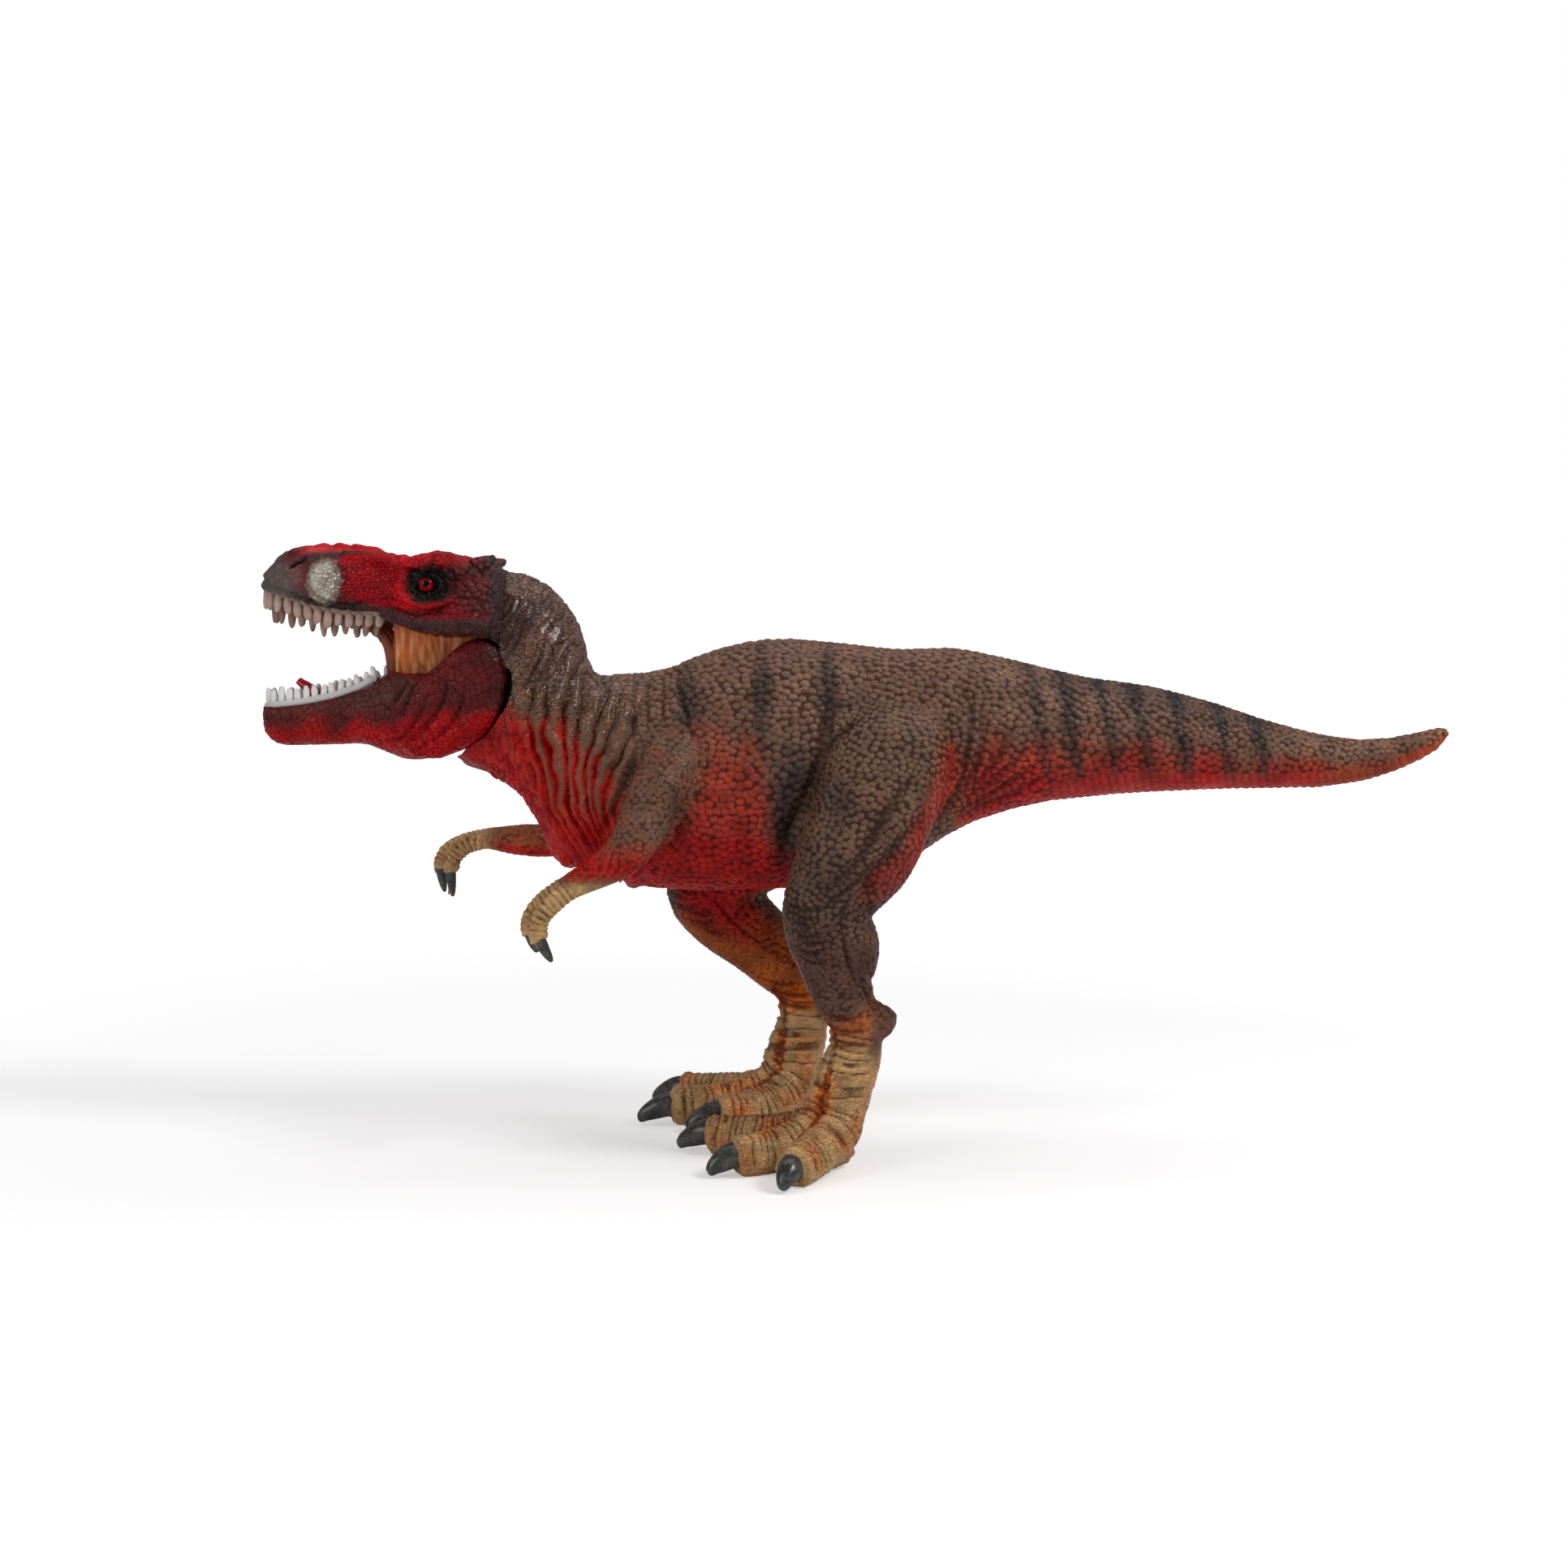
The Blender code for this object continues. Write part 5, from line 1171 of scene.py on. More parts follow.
def shapeJaw():
    points, faces = meltSkin([cadShell("lower_jaw")], jawSkin["voxel"])
    points = polish(points, edgePairs(faces), jawSkin["polish"])
    normals = pointNormals(points, faces)
    x, y, z = points.T
    # the floor of the mouth stays plain
    sides = ease(0.2, 0.5, np.abs(normals[:, 1])) * ease(0, 0.4, normals[:, 1] * np.sign(y))
    outer = clamp(sides + ease(0, 0.5, -normals[:, 2]) + ease(0.2, 0.6, -normals[:, 0]) * (x < -125))
    dome, tone, _ = pebbles(points, np.full(len(points), jawSkin["scale"]), jawSkin["seed"], 0)
    creases = strokes(points, jawCreases, 0.5) * ease(6, 9, np.abs(y))
    # two families of fine wrinkles that cross on the cheek
    bend = wobble(points, 9, 51)
    first = ridges((x * 0.94 + z * 0.34 + 1.1 * bend) / 1.6)
    second = ridges((z * 0.9 - x * 0.42 + 1.3 * bend) / 1.8)
    cracks = np.minimum(ease(0, 0.45, first), ease(0, 0.4, second))
    deep = 0.45 + 0.55 * ease(-1, 1, wobble(points, 6, 52))
    lift = outer * (0.06 * (dome - 0.6) + jawSkin["crack"] * (cracks - 1) * deep)
    lift -= jawSkin["crease"] * creases
    moved = points + normals * (lift - jawSkin["sunk"])[:, None]
    # the cheek's rim swells to meet the neck
    hinge = [jawCollar["x"], jawCollar["z"]]
    spoke = moved[:, [0, 2]] - hinge
    reach = np.hypot(*spoke.T)
    swell = jawSkin["rim"] * ease(7, 11, reach) * ease(-99, -94, x) * ease(6, 8, np.abs(y))
    moved[:, [0, 2]] = spoke * (1 + swell / np.maximum(reach, 1))[:, None] + hinge
    edge = follow(jawEdge, x)
    red = (1 - ease(-3.6, 3.4, z - edge + 0.9 * bend)) * outer + 0.85 * (1 - outer) * (x < -100)
    dark = outer * ease(1, 6, z - edge) * (1 - ease(-102, -97, x)) + 0.8 * (1 - ease(-136.4, -134.6, x))
    # wash and painted shade in the jaw's cracks and creases
    grooves = clamp(np.minimum(0.6 + 0.4 * dome, 0.1 + 0.9 * cracks)) * (1 - 0.75 * creases)
    none = np.zeros(len(x))
    return moved, faces, {
        "relief": grooves, "tone": tone, "red": clamp(red), "dark": clamp(dark), "cream": none, "grey": none,
        "black": none, "gloss": none + 0.25, "scaly": 0.15 * outer,
    }


# teeth: how far in from the lip a row stands, where it ends, and the size of its teeth front and back
outerRow = {"inset": 1.6, "end": -107.6, "pitch": 2.42, "wide": 2.3, "deep": 1.8, "length": 4.7, "back": 3.1}
innerRow = {"inset": 3.5, "end": -108.4, "pitch": 2.5, "wide": 2.0, "deep": 1.7, "length": 6.9, "back": 4.9}
lowerRow = {"inset": 1.6, "end": -109.6, "pitch": 2.02, "wide": 1.75, "deep": 1.6, "length": 4.5, "back": 3.6}
toothSpread = {"length": (0.84, 1.1), "along": (-0.4, 0.4), "out": (-0.4, -0.1), "size": (0.88, 1.05)}
# a tooth's thickness along its length
toothSwell = (
    (0, 0.84), (0.2, 0.94), (0.45, 1.0), (0.64, 0.97), (0.8, 0.84), (0.92, 0.62), (0.985, 0.36), (1.0, 0.1),
)


def archPoints(table, inset, endX, pitch):
    # evenly spaced places along the drawn-in plan of a lip, with the direction along it
    rows = spline(table, 12)
    half = rows[:, [0, 2]]
    lip = np.vstack([half[::-1] * [1, -1], half])
    step = unit(np.gradient(lip, axis=0))
    inner = lip + inset * np.stack([step[:, 1], -step[:, 0]], axis=1)
    inner = inner[(inner[:, 0] < endX) & (inner[:, 0] > rows[0, 0] + 0.72 * inset)]
    along = arcLengths(inner)
    count = max(2, int(round(along[-1] / pitch)))
    wanted = np.linspace(0, along[-1], count + 1)
    places = np.stack([np.interp(wanted, along, inner[:, k]) for k in (0, 1)], axis=1)
    return places, unit(np.gradient(places, axis=0))


def peg(root, way, length, wide, deep, lean):
    # a rounded tooth
    along, outward = np.array([way[0], way[1], 0.0]), np.array([way[1], -way[0], 0.0])
    around = turns(12)
    section = wide * np.outer(np.cos(around), along) + deep * np.outer(np.sin(around), outward)
    lean = along * lean[0] + outward * lean[1]
    rings = []
    for share, size in toothSwell:
        centre = np.array(root) + np.array([0, 0, length * share]) + lean * share**2
        rings.append(centre + size * 0.5 * section)
    return ringShell(np.array(rings))


def gumStrip(table, inset, endX, half, low, high):
    # the strip that the teeth stand in, from low to high over the lip line
    turn = turns(10)
    rings = []
    for (px, py), (wx, wy) in zip(*archPoints(table, inset, endX, 1.2)):
        middle, tall = follow(table, px) + 0.5 * (low + high), 0.5 * (high - low)
        ring = np.stack([np.cos(turn) * half * wy, -np.cos(turn) * half * wx, np.sin(turn) * tall], axis=1)
        rings.append(np.array([px, py, middle]) + ring)
    return ringShell(np.array(rings))


def toothRow(table, row, way, seed):
    # teeth that point up (way 1) or down (way -1), no two quite alike
    random = np.random.default_rng(seed)
    shells, front = [], table[0][0]
    for (px, py), direction in zip(*archPoints(table, row["inset"], row["end"], row["pitch"])):
        share = clamp((px - front) / (row["end"] - front))
        length = row["length"] + (row["back"] - row["length"]) * share**1.5
        length = length * random.uniform(*toothSpread["length"])
        lean = (random.uniform(*toothSpread["along"]), random.uniform(*toothSpread["out"]))
        size = random.uniform(*toothSpread["size"]) * (1 - 0.12 * share)
        root = (px, py, follow(table, px) - way * 1.0)
        shells.append(peg(root, direction, way * length, row["wide"] * size, row["deep"] * size, lean))
    return shells


def buildTeeth(materials):
    outer = toothRow(skull, outerRow, -1, 61)
    inner = toothRow(skull, innerRow, -1, 62)
    gum = [gumStrip(skull, 1.9, -106.2, 0.75, 0.2, 1.9), gumStrip(skull, 3.4, -106.8, 0.9, -0.4, 1.9)]
    points, faces = joinShells(outer + inner + gum)
    kinds = ((outer, 0), (inner, 1), (gum, 0.6))
    rows = np.concatenate([np.full(len(shell[0]), kind) for shells, kind in kinds for shell in shells])
    fields = {"inner": rows, "length": clamp((follow(skull, points[:, 0]) - points[:, 2]) / 5)}
    mesh = meshOf("upperTeeth", points, faces)
    addPiece(mesh, "figure", ["upper_teeth"], materials["upperTeeth"], fields)
    pegs = toothRow(jawRim, lowerRow, 1, 63)
    points, faces = joinShells(pegs + [gumStrip(jawRim, 1.6, -109.3, 1.1, -1.2, 0.6)])
    height = clamp((points[:, 2] - follow(jawRim, points[:, 0])) / 4)
    fields = {"inner": np.zeros(len(points)), "length": height}
    mesh = meshOf("lowerTeeth", points, faces)
    addPiece(mesh, "jaw", ["lower_teeth"], materials["lowerTeeth"], fields)


# the web of skin that hangs from the palate to the throat, and the tongue
mouthWeb = (
    (-113, 5.5, 120.6, 1.4, 1.1), (-109.4, 6, 119, 1.4, 1.3), (-106.8, 5.8, 115.8, 1.2, 1.3),
    (-106, 4.8, 110, 1.2, 1.3), (-105.6, 4, 104.6, 1.2, 1.3),
)
tongueLine = (
    (-100.5, 0, 97.6, 4.2, 1.3), (-107, 0, 98.8, 4.8, 1.5), (-115, 0, 100.4, 4.4, 1.5),
    (-121.5, 0, 102.6, 3.6, 1.4), (-126, 0, 105.6, 2.6, 1.2), (-128.6, 0, 107.4, 1.4, 0.8),
)
mouthSkin = {"voxel": 0.4, "polish": 6, "sunk": 0.03, "fold": 0.26, "roofRidge": 0.12, "tongueGroove": 0.35}


def buildLining(materials):
    shells = [cadShell("mouth_lining")] + [limbShell(side, sides=12) for side in bothSides(mouthWeb)[::-1]]
    points, faces = meltSkin(shells, mouthSkin["voxel"])
    points = polish(points, edgePairs(faces), mouthSkin["polish"])
    normals = pointNormals(points, faces)
    x, y, z = points.T
    wall = ease(0.5, 0.9, np.abs(normals[:, 1])) * (x > -106)
    folds = ridges((x + 0.12 * (z - 110) + 1.3 * wobble(points * [1, 1, 0.3], 7, 71)) / 2.1)
    fine = wobble(points * [1, 1, 0.35], 1.9, 72)
    roof = ease(0.4, 0.8, -normals[:, 2])
    lift = wall * (mouthSkin["fold"] * (folds - 0.8) + 0.1 * fine)
    lift += mouthSkin["roofRidge"] * roof * np.sin(2 * math.pi * x / 1.6)
    moved = points + normals * (lift - mouthSkin["sunk"])[:, None]
    fields = {
        # wash and painted shade between the folds
        "relief": clamp(0.3 + 0.7 * folds * wall + 0.7 * (1 - wall)),
        # painted shade: the lining's rear and its lower back, seen through the gaps round the jaw, are
        # painted near black
        "back": clamp(ease(-84, -81, x) + (1 - ease(106, 110, z)) * ease(-98, -94, x)),
        "pale": clamp(0.1 + 0.6 * fine) * wall * (1 - ease(117, 120, z)),
        # painted shade: the strut's front edge is a darker orange
        "strutShade": (1 - ease(-105.4, -104.4, x)) * (z < 122),
    }
    mesh = meshOf("mouthLining", moved, faces)
    addPiece(mesh, "figure", ["mouth_lining"], materials["lining"], fields)


def buildTongue(materials):
    points, faces = limbShell(tongueLine, steps=8, sides=28)
    groove = hump(points[:, 1], 0, 0.5) * ease(-128, -124, points[:, 0])
    top = points[:, 2] > follow(tongueLine, points[:, 0], 2)
    points[:, 2] -= mouthSkin["tongueGroove"] * groove * top
    points[:, 2] += 0.06 * wobble(points, 1.6, 73)
    addPiece(meshOf("tongueSkin", points, faces), "jaw", ["tongue"], materials["tongue"])


def buildEyes(materials):
    # each eye is a ball with its pole outward; reach grows from the pupil to the rim
    around = turns(36)
    for name, side in (("leftEye", -1), ("rightEye", 1)):
        rings, reach = [], []
        for angle in np.linspace(0.06, 2.4, 22):
            flat = math.sin(angle)
            outward = np.full(len(around), side * math.cos(angle))
            rings.append(np.stack([flat * np.cos(around), outward, flat * np.sin(around)], axis=1))
            reach += [flat if angle < 1.57 else 1.2] * len(around)
        points, faces = ringShell(np.array(rings))
        faces = faces[:, ::-side]
        points = points * eyeShape["radius"] + [eyeShape["x"], side * eyeShape["y"], eyeShape["z"]]
        shade = ease(0.35, 1.2, points[:, 2] - eyeShape["z"] + 0.2 * (points[:, 0] - eyeShape["x"]))
        fields = {"reach": reach + [0.0, 1.2], "shade": shade}
        addPiece(meshOf(name, points, faces), "figure", [], materials["eye"], fields)


def buildHead(materials):
    points, faces, fields = shapeHead()
    addPiece(meshOf("headSkin", points, faces), "figure", ["head"], materials["head"], fields)
    points, faces, fields = shapeJaw()
    addPiece(meshOf("jawSkin", points, faces), "jaw", ["lower_jaw"], materials["jaw"], fields)
    print("head and jaw shaped")
    buildTeeth(materials)
    buildLining(materials)
    buildTongue(materials)
    buildEyes(materials)


# paints
def tint(*screen):
    # a paint tone given in screen values from 0 to 255
    paint = []
    for tone in (value / 255 for value in screen):
        paint.append(tone / 12.92 if tone <= 10 / 255 else ((tone + 0.055) / 1.055) ** 2.4)
    return (*paint, 1.0)


class NodeBench:
    # short ways to place and wire nodes in one tree
    def __init__(self, tree):
        self.tree = tree

    def put(self, kind, **values):
        node = self.tree.nodes.new("ShaderNode" + kind)
        for key, value in values.items():
            setattr(node, key, value)
        return node

    def wire(self, source, target):
        self.tree.links.new(source, target)

    def feed(self, socket, value):
        if hasattr(value, "links"):
            self.wire(value, socket)
        else:
            socket.default_value = value

    def mix(self, share, one, two, blend="MIX"):
        node = self.put("Mix", data_type="RGBA", blend_type=blend)
        self.feed(node.inputs[0], share)
        self.feed(node.inputs[6], one)
        self.feed(node.inputs[7], two)
        return node.outputs[2]

    def math(self, operation, one, two=0.0, third=0.0):
        node = self.put("Math", operation=operation)
        for socket, value in zip(node.inputs, (one, two, third)):
            self.feed(socket, value)
        return node.outputs[0]

    def span(self, value, low, high, start=0.0, end=1.0):
        node = self.put("MapRange")
        keys = ("Value", "From Min", "From Max", "To Min", "To Max")
        for key, number in zip(keys, (value, low, high, start, end)):
            self.feed(node.inputs[key], number)
        return node.outputs["Result"]

    def times(self, one, two):
        return self.math("MULTIPLY", one, two)

    def step(self, value, low, high):
        # 0 below low and 1 above high, with soft ends
        node = self.put("MapRange", interpolation_type="SMOOTHSTEP")
        for key, number in (("Value", value), ("From Min", low), ("From Max", high)):
            self.feed(node.inputs[key], number)
        return node.outputs["Result"]

    def cells(self, kind, where, scale, randomness):
        node = self.put("TexVoronoi", feature=kind)
        for key, value in (("Vector", where), ("Scale", scale), ("Randomness", randomness)):
            self.feed(node.inputs[key], value)
        return node

    def field(self, name):
        return self.put("Attribute", attribute_type="GEOMETRY", attribute_name=name).outputs["Fac"]

    def noise(self, scale, detail=3.0, rough=0.55):
        where = self.put("TexCoord").outputs["Object"]
        node = self.put("TexNoise")
        self.wire(where, node.inputs["Vector"])
        self.feed(node.inputs["Scale"], scale)
        self.feed(node.inputs["Detail"], detail)
        self.feed(node.inputs["Roughness"], rough)
        return node.outputs["Fac"]


def newGroup(name, inputs, outputs):
    group = bpy.data.node_groups.new(name, "ShaderNodeTree")
    for label, kind, value in inputs:
        socket = group.interface.new_socket(label, in_out="INPUT", socket_type="NodeSocket" + kind)
        socket.default_value = value
    for label, kind in outputs:
        group.interface.new_socket(label, in_out="OUTPUT", socket_type="NodeSocket" + kind)
    return group, NodeBench(group), group.nodes.new("NodeGroupInput"), group.nodes.new("NodeGroupOutput")


def makeWashGroup():
    # dark wash and painted shade in the grooves and creases, paint rubbed thin and painted highlight on the
    # tops
    group, bench, given, made = newGroup(
        "washAndRub",
        (
            ("Colour", "Color", (0.5, 0.5, 0.5, 1)), ("Relief", "Float", 1.0), ("Tone", "Float", 0.5),
            ("Wash", "Float", 0.7), ("Rub", "Float", 0.3),
        ),
        (("Colour", "Color"),),
    )
    colour, relief = given.outputs["Colour"], given.outputs["Relief"]
    mottle = bench.noise(160.0, 4.0)
    washShadeShare = bench.times(bench.span(relief, 0.66, 0.1), given.outputs["Wash"])
    # the dark tone of the wash and of the painted shade
    deep = bench.mix(1.0, colour, tint(112, 96, 92), "MULTIPLY")
    shade = bench.mix(1.0, colour, bench.span(mottle, 0.3, 0.7, 0.72, 1.28), "MULTIPLY")
    shade = bench.mix(1.0, shade, bench.span(given.outputs["Tone"], 0.0, 1.0, 0.84, 1.16), "MULTIPLY")
    shade = bench.mix(washShadeShare, shade, deep)
    # the tops lightened: paint rubbed thin and painted highlight
    top = bench.times(bench.span(relief, 0.8, 1.0), given.outputs["Rub"])
    rubAndHighlight = bench.times(top, bench.span(mottle, 0.4, 0.65))
    shade = bench.mix(rubAndHighlight, shade, bench.mix(0.3, shade, tint(205, 190, 175)))
    bench.wire(shade, made.inputs["Colour"])
    return group


def makeSprayGroup():
    # an edge of sprayed paint, broken by a fine grain
    group, bench, given, made = newGroup(
        "sprayEdge",
        (("Mask", "Float", 0.0), ("Grain", "Float", 0.25), ("Scale", "Float", 300.0)),
        (("Mask", "Float"),),
    )
    noise = bench.math("SUBTRACT", bench.noise(given.outputs["Scale"], 3.0), 0.5)
    offset = bench.times(noise, bench.times(given.outputs["Grain"], 2.0))
    bench.wire(bench.span(bench.math("ADD", given.outputs["Mask"], offset), 0.12, 0.88), made.inputs["Mask"])
    return group


def makeScaleGroup():
    # small scales wider than tall, as height: 0 in the grooves and 1 on top, and one tone a scale
    group, bench, given, made = newGroup(
        "vinylScales",
        (("Scale", "Float", 620.0), ("Groove", "Float", 0.28)),
        (("Height", "Float"), ("Tone", "Float")),
    )
    wide = bench.put("VectorMath", operation="MULTIPLY")
    bench.wire(bench.put("TexCoord").outputs["Object"], wide.inputs[0])
    wide.inputs[1].default_value = (0.84, 1.0, 1.16)
    spots = (wide.outputs["Vector"], given.outputs["Scale"], 0.85)
    edges, cells = bench.cells("DISTANCE_TO_EDGE", *spots), bench.cells("F1", *spots)
    bench.wire(bench.step(edges.outputs["Distance"], 0.03, given.outputs["Groove"]), made.inputs["Height"])
    bench.wire(cells.outputs["Color"], made.inputs["Tone"])
    return group


def makeCrackGroup():
    # a net of fine cracks, longer one way than the other: 0 in a crack and 1 between
    group, bench, given, made = newGroup(
        "vinylCracks",
        (("Scale", "Float", 800.0), ("Width", "Float", 0.12)),
        (("Between", "Float"),),
    )
    where = bench.put("TexCoord").outputs["Object"]
    turned = bench.put("Mapping")
    turned.inputs["Rotation"].default_value = (0.0, 0.9, 0.3)
    turned.inputs["Scale"].default_value = (1.0, 1.0, 2.1)
    bench.wire(where, turned.inputs["Vector"])
    cloud = bench.put("TexNoise")
    bench.wire(where, cloud.inputs["Vector"])
    cloud.inputs["Scale"].default_value = 260.0
    sway = bench.put("VectorMath", operation="SCALE")
    bench.wire(cloud.outputs["Color"], sway.inputs[0])
    sway.inputs["Scale"].default_value = 0.0012
    bent = bench.put("VectorMath", operation="ADD")
    bench.wire(turned.outputs["Vector"], bent.inputs[0])
    bench.wire(sway.outputs["Vector"], bent.inputs[1])
    cells = bench.cells("DISTANCE_TO_EDGE", bent.outputs["Vector"], given.outputs["Scale"], 1.0)
    bench.wire(bench.step(cells.outputs["Distance"], 0.0, given.outputs["Width"]), made.inputs["Between"])
    return group


def newMaterial(name):
    material = bpy.data.materials.new(name)
    material.use_nodes = True
    return material, NodeBench(material.node_tree), material.node_tree.nodes["Principled BSDF"]


def useGroup(bench, group, **values):
    node = bench.put("Group", node_tree=group)
    for key, value in values.items():
        bench.feed(node.inputs[key], value)
    return node


# body paints, sprayed in this order; grain and its size break their edges
skinPaint = {
    "body": tint(124, 93, 76), "limb": tint(116, 88, 71), "patina": tint(120, 70, 50),
    "red": tint(186, 10, 12), "rust": tint(150, 66, 36), "stripeAndShade": tint(44, 40, 42),
    "orange": tint(204, 98, 20), "tan": tint(198, 156, 106), "purple": tint(102, 68, 58),
    "spray": (("purple", 0.2, 120.0), ("orange", 0.25, 160.0), ("red", 0.2, 260.0), ("stripeAndShade", 0.18, 220.0)),
    "scales": {"body": 600.0, "limb": 740.0}, "washAndShade": {"body": 0.8, "limb": 0.85},
    "coat": 0.32, "coatRough": 0.17,
}
skinFinish = {
    "shine": 0.16, "rubAndHighlight": 0.18, "cracks": 620.0, "crackWidth": 0.1, "crackTint": tint(40, 22, 20),
    "rough": (0.34, 0.22), "roughGrain": 240.0, "roughSpread": 0.07, "bump": 0.0003,
}
facePaint = {
    "head": {"base": tint(76, 30, 32), "red": tint(206, 14, 30), "dark": tint(68, 46, 46), "wornAndShaded": 0.25},
    "jaw": {"base": tint(78, 32, 32), "red": tint(180, 0, 8), "dark": tint(96, 48, 42), "wornAndShaded": 0.3},
    "cream": tint(228, 220, 202), "grey": tint(98, 87, 84), "black": tint(20, 16, 15),
    "spray": (
        ("dark", 0.15, 300.0), ("grey", 0.2, 260.0), ("red", 0.15, 420.0), ("cream", 0.3, 700.0),
        ("black", 0.1, 500.0),
    ),
    "scales": 1080.0, "washAndShade": 0.75,
}
faceFinish = {
    "shine": 0.14, "rubAndHighlight": 0.2, "cracks": 760.0, "crackWidth": 0.11, "crackTint": tint(34, 8, 12),
    "rough": (0.32, 0.16), "roughGrain": 300.0, "roughSpread": 0.06, "bump": 0.0002,
}


def addScales(bench, groups, count):
    # the scales where the skin is scaly, over a leathery grain: height, depth of relief and tone
    small = useGroup(bench, groups["scales"], Scale=count, Groove=0.28)
    share = bench.field("scaly")
    height = bench.times(small.outputs["Height"], share)
    height = bench.math("ADD", height, bench.times(bench.noise(2600.0), 0.14))
    lost = bench.times(bench.math("SUBTRACT", 1.0, small.outputs["Height"]), share)
    relief = bench.math("MINIMUM", bench.field("relief"), bench.math("SUBTRACT", 1.0, lost))
    tone = bench.math("ADD", bench.times(small.outputs["Tone"], 0.6), bench.times(bench.field("tone"), 0.4))
    return height, relief, tone


def spray(bench, groups, mask, grain, size):
    return useGroup(bench, groups["spray"], Mask=bench.field(mask), Grain=grain, Scale=size).outputs[0]


def finishVinyl(bench, shader, groups, colour, scaleCount, washAndShade, wornAndShaded, finish):
    # wash and painted shade, darkened cracks, gloss and fine bump of a painted casting
    height, relief, tone = addScales(bench, groups, scaleCount)
    washed = useGroup(
        bench, groups["washAndShade"], Colour=colour, Relief=relief, Tone=tone, Wash=washAndShade, Rub=finish["rubAndHighlight"],
    )
    between = useGroup(bench, groups["cracks"], Scale=finish["cracks"], Width=finish["crackWidth"]).outputs[0]
    # the cracks darkened: wear and painted shade in the fine cracks
    dark = bench.times(bench.math("SUBTRACT", 1.0, between), wornAndShaded)
    bench.wire(bench.mix(dark, washed.outputs[0], finish["crackTint"]), shader.inputs["Base Color"])
    rough = bench.span(bench.field("gloss"), 0.0, 1.0, *finish["rough"])
    spread = finish["roughSpread"]
    grain = bench.span(bench.noise(finish["roughGrain"]), 0.3, 0.7, -spread, spread)
    bench.wire(bench.math("ADD", rough, grain), shader.inputs["Roughness"])
    bump = bench.put("Bump")
    bump.inputs["Distance"].default_value = finish["bump"]
    bump.inputs["Strength"].default_value = 0.9
    bench.wire(bench.math("ADD", height, bench.times(between, wornAndShaded)), bump.inputs["Height"])
    bench.wire(bump.outputs["Normal"], shader.inputs["Normal"])
    shader.inputs["Specular IOR Level"].default_value = finish["shine"]


def makeSkin(name, groups, part):
    material, bench, shader = newMaterial(name)
    brown = skinPaint[part]
    cloudy = bench.span(bench.noise(28.0, 2.0), 0.35, 0.65)
    colour = bench.mix(cloudy, brown, bench.mix(0.25, brown, skinPaint["patina"]))
    for paint, grain, size in skinPaint["spray"]:
        edge = spray(bench, groups, paint, grain, size)
        if paint == "orange":  # over the tan, and mostly in the grooves
            colour = bench.mix(spray(bench, groups, "tan", 0.2, 150.0), colour, skinPaint["tan"])
            glaze = bench.times(edge, bench.span(bench.field("relief"), 1.0, 0.55, 0.35, 1.0))
            colour = bench.mix(glaze, colour, skinPaint["orange"])
            continue
        if paint == "red":  # a rusty fringe round the red
            colour = bench.mix(bench.times(bench.span(edge, 0.0, 0.35), 0.6), colour, skinPaint["rust"])
        colour = bench.mix(bench.times(edge, 0.95), colour, skinPaint[paint])
    wornAndShaded = bench.span(bench.field("gloss"), 0.0, 1.0, 0.15, 0.8)
    bench.wire(bench.times(bench.field("gloss"), skinPaint["coat"]), shader.inputs["Coat Weight"])
    shader.inputs["Coat Roughness"].default_value = skinPaint["coatRough"]
    count, washAndShade = skinPaint["scales"][part], skinPaint["washAndShade"][part]
    finishVinyl(bench, shader, groups, colour, count, washAndShade, wornAndShaded, skinFinish)
    return material


def makeFace(name, groups, part):
    material, bench, shader = newMaterial(name)
    paints = {**facePaint, **facePaint[part]}
    cloudy = bench.span(bench.noise(60.0, 2.0), 0.35, 0.65)
    colour = bench.mix(cloudy, paints["base"], bench.mix(0.3, paints["base"], paints["red"]))
    for paint, grain, size in facePaint["spray"]:
        colour = bench.mix(spray(bench, groups, paint, grain, size), colour, paints[paint])
    finishVinyl(bench, shader, groups, colour, paints["scales"], paints["washAndShade"], paints["wornAndShaded"], faceFinish)
    return material


# name, two tones that a noise mixes, the noise's scale and reach, then the roughness and its noise
plainPaints = {
    "claw": ("slateClaw", tint(42, 42, 42), tint(88, 88, 84), 500.0, (0.35, 0.7), (0.18, 0.34), 500.0),
    "tongue": ("tongueVinyl", tint(165, 12, 16), tint(205, 30, 30), 350.0, (0.3, 0.7), (0.24, 0.36), 200.0),
    "steel": ("pinSteel", tint(170, 170, 172), tint(205, 205, 206), 700.0, (0.3, 0.7), (0.24, 0.38), 700.0),
}
toothPaint = {
    "upperTeeth": ("upperToothVinyl", tint(182, 148, 134), tint(136, 98, 84), tint(214, 190, 176)),
    "lowerTeeth": ("lowerToothVinyl", tint(240, 238, 236), tint(240, 238, 236), tint(252, 252, 252)),
    "gum": tint(80, 50, 42), "shine": 0.3,
}
# the strut's and the back's tones are painted shade
mouthPaint = {
    "orange": tint(206, 100, 28), "pale": tint(232, 178, 116), "strutShade": tint(128, 56, 14),
    "back": tint(44, 14, 12), "washAndShade": 0.8, "rubAndHighlight": 0.1,
}
eyePaint = {
    "pupil": tint(6, 5, 5), "iris": tint(206, 12, 24), "irisDark": tint(120, 8, 16), "rim": tint(12, 8, 8),
    "lidShade": tint(14, 8, 8), "shine": 0.15,
}


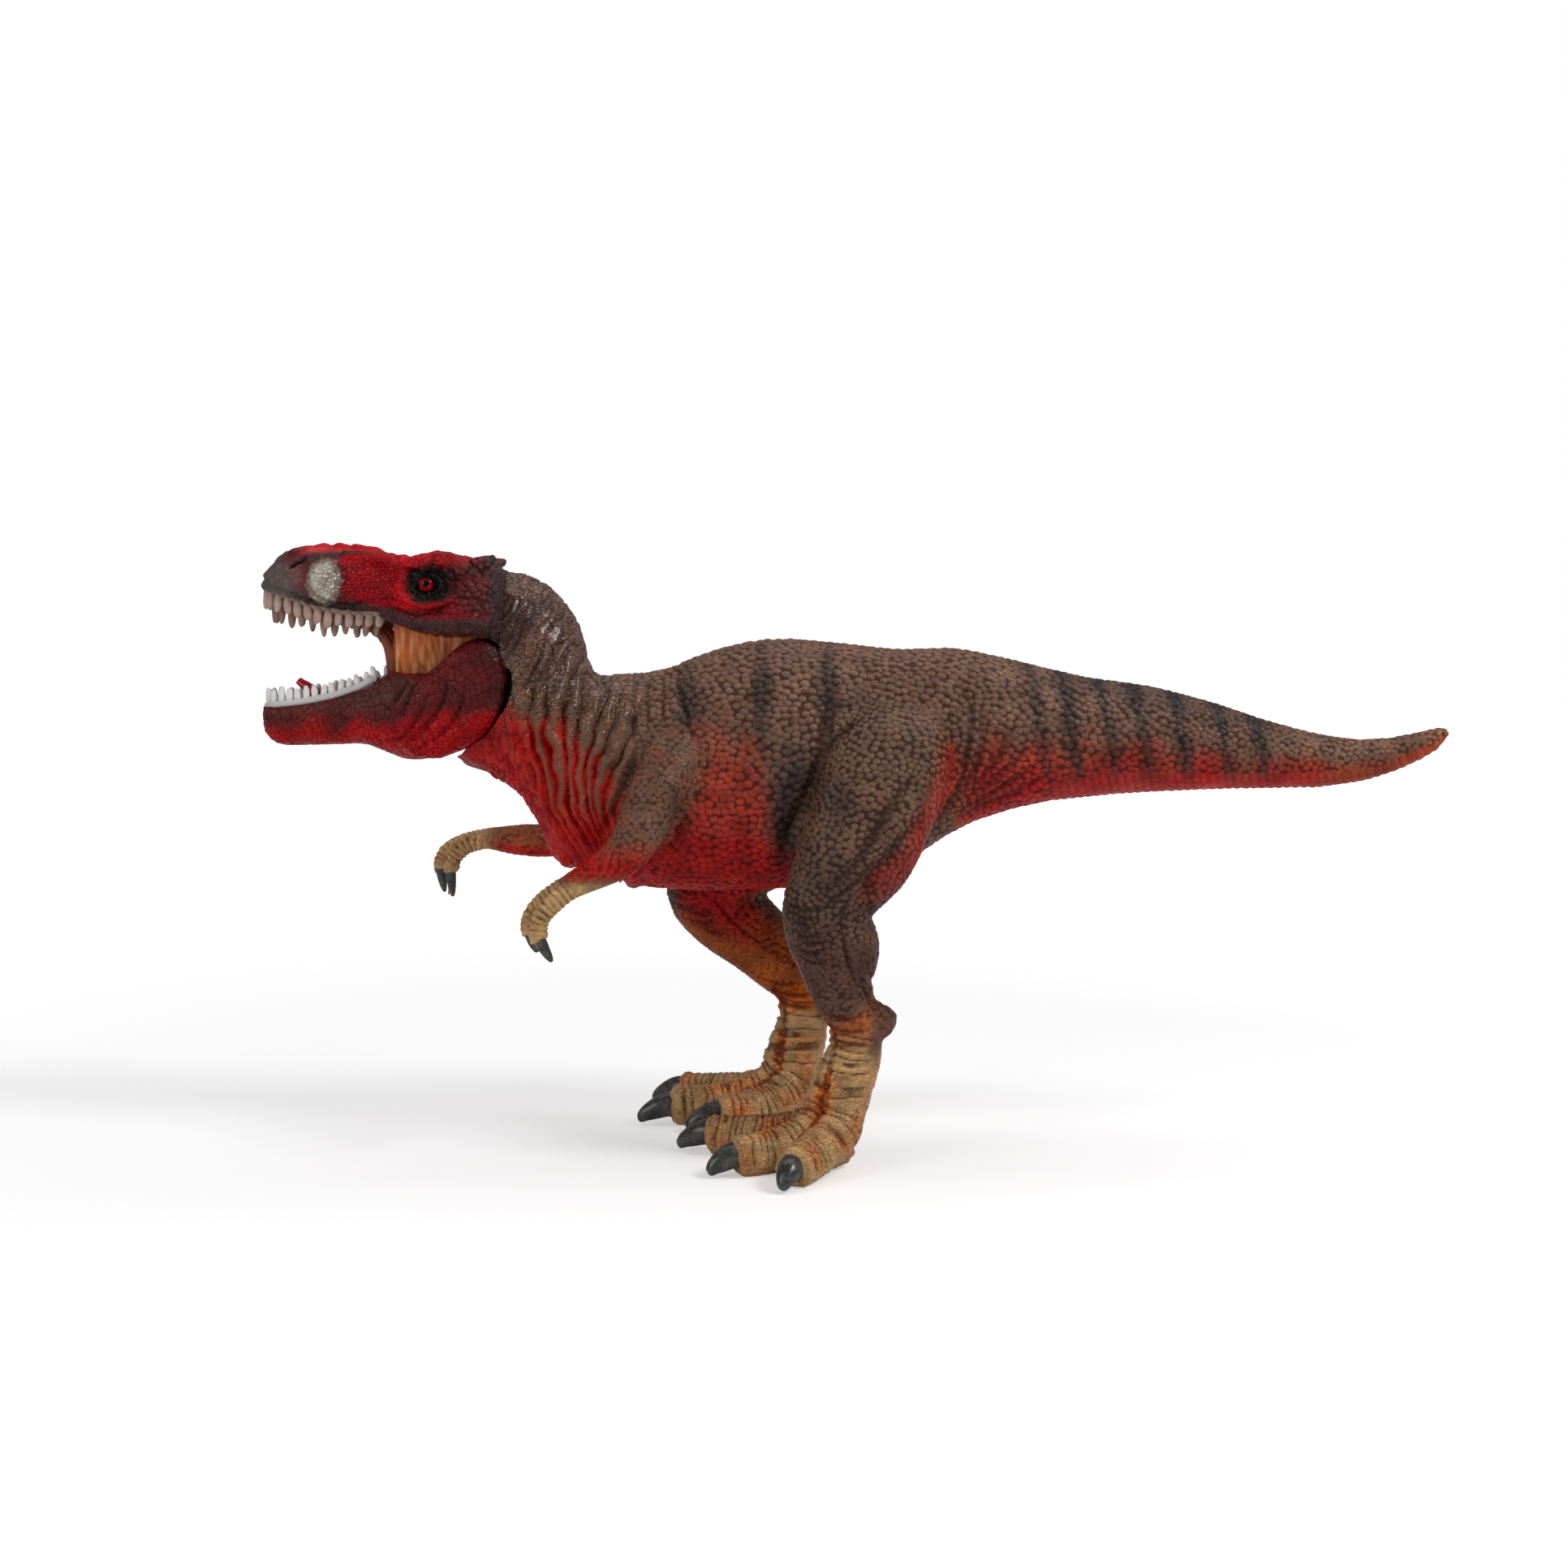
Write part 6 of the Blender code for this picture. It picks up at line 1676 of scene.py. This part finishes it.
def makePlain(kind):
    name, one, two, grain, reach, rough, roughGrain = plainPaints[kind]
    material, bench, shader = newMaterial(name)
    bench.wire(bench.mix(bench.span(bench.noise(grain), *reach), one, two), shader.inputs["Base Color"])
    bench.wire(bench.span(bench.noise(roughGrain), 0.3, 0.7, *rough), shader.inputs["Roughness"])
    if kind == "steel":
        shader.inputs["Metallic"].default_value = 1.0
    return material


def makeTooth(name, outer, inner, tip):
    material, bench, shader = newMaterial(name)
    shader.inputs["Specular IOR Level"].default_value = toothPaint["shine"]
    streak = bench.span(bench.noise(420.0, 4.0), 0.35, 0.68)
    colour = bench.mix(bench.field("inner"), outer, inner)
    colour = bench.mix(bench.times(streak, 0.45), colour, tip)
    colour = bench.mix(bench.span(bench.field("length"), 0.25, 0.0, 0.0, 0.35), colour, toothPaint["gum"])
    bench.wire(colour, shader.inputs["Base Color"])
    bench.wire(bench.span(streak, 0.0, 1.0, 0.3, 0.42), shader.inputs["Roughness"])
    return material


def makeLining(groups):
    material, bench, shader = newMaterial("mouthVinyl")
    colour = bench.mix(bench.times(bench.field("pale"), 0.8), mouthPaint["orange"], mouthPaint["pale"])
    # painted shade on the strut and the back
    for mask in ("strutShade", "back"):
        colour = bench.mix(bench.field(mask), colour, mouthPaint[mask])
    washed = useGroup(
        bench, groups["washAndShade"], Colour=colour, Relief=bench.field("relief"), Tone=0.5,
        Wash=mouthPaint["washAndShade"], Rub=mouthPaint["rubAndHighlight"],
    )
    bench.wire(washed.outputs[0], shader.inputs["Base Color"])
    bench.wire(bench.span(bench.noise(300.0), 0.3, 0.7, 0.36, 0.5), shader.inputs["Roughness"])
    return material


def makeEye():
    material, bench, shader = newMaterial("eyeLacquer")
    shader.inputs["Specular IOR Level"].default_value = eyePaint["shine"]
    ragged = bench.span(bench.noise(900.0, 2.0), 0.3, 0.7, -0.12, 0.12)
    reach = bench.math("ADD", bench.field("reach"), ragged)
    flecks = bench.span(bench.noise(1400.0, 2.0), 0.4, 0.6)
    iris = bench.mix(flecks, eyePaint["iris"], eyePaint["irisDark"])
    colour = bench.mix(bench.span(reach, 0.36, 0.44), eyePaint["pupil"], iris)
    colour = bench.mix(bench.span(reach, 0.76, 0.86), colour, eyePaint["rim"])
    colour = bench.mix(bench.times(bench.field("shade"), 0.85), colour, eyePaint["lidShade"])
    bench.wire(colour, shader.inputs["Base Color"])
    bench.wire(bench.span(reach, 0.2, 1.0, 0.06, 0.14), shader.inputs["Roughness"])
    return material


def makeMaterials():
    groups = {
        "washAndShade": makeWashGroup(), "spray": makeSprayGroup(),
        "scales": makeScaleGroup(), "cracks": makeCrackGroup(),
    }
    materials = {
        "skin": makeSkin("bodyVinyl", groups, "body"), "limb": makeSkin("limbVinyl", groups, "limb"),
        "head": makeFace("headVinyl", groups, "head"), "jaw": makeFace("jawVinyl", groups, "jaw"),
        "lining": makeLining(groups), "eye": makeEye(),
    }
    for row in ("upperTeeth", "lowerTeeth"):
        materials[row] = makeTooth(*toothPaint[row])
    for kind in plainPaints:
        materials[kind] = makePlain(kind)
    return materials


addCamera()
for lamp in ("key", "top", "fill"):
    addLamp(lamp + "Softbox", studio[lamp])
addRoom()
addFloor()
bpy.context.scene.view_settings.view_transform = "Standard"
materials = makeMaterials()
print("studio and paints ready")
buildBody(materials)
buildClaws(materials)
print("body and claws ready")
buildHead(materials)
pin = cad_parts["jaw_pin"]
pin.data.materials.clear()
pin.data.materials.append(materials["steel"])
print("head, jaw and mouth ready")
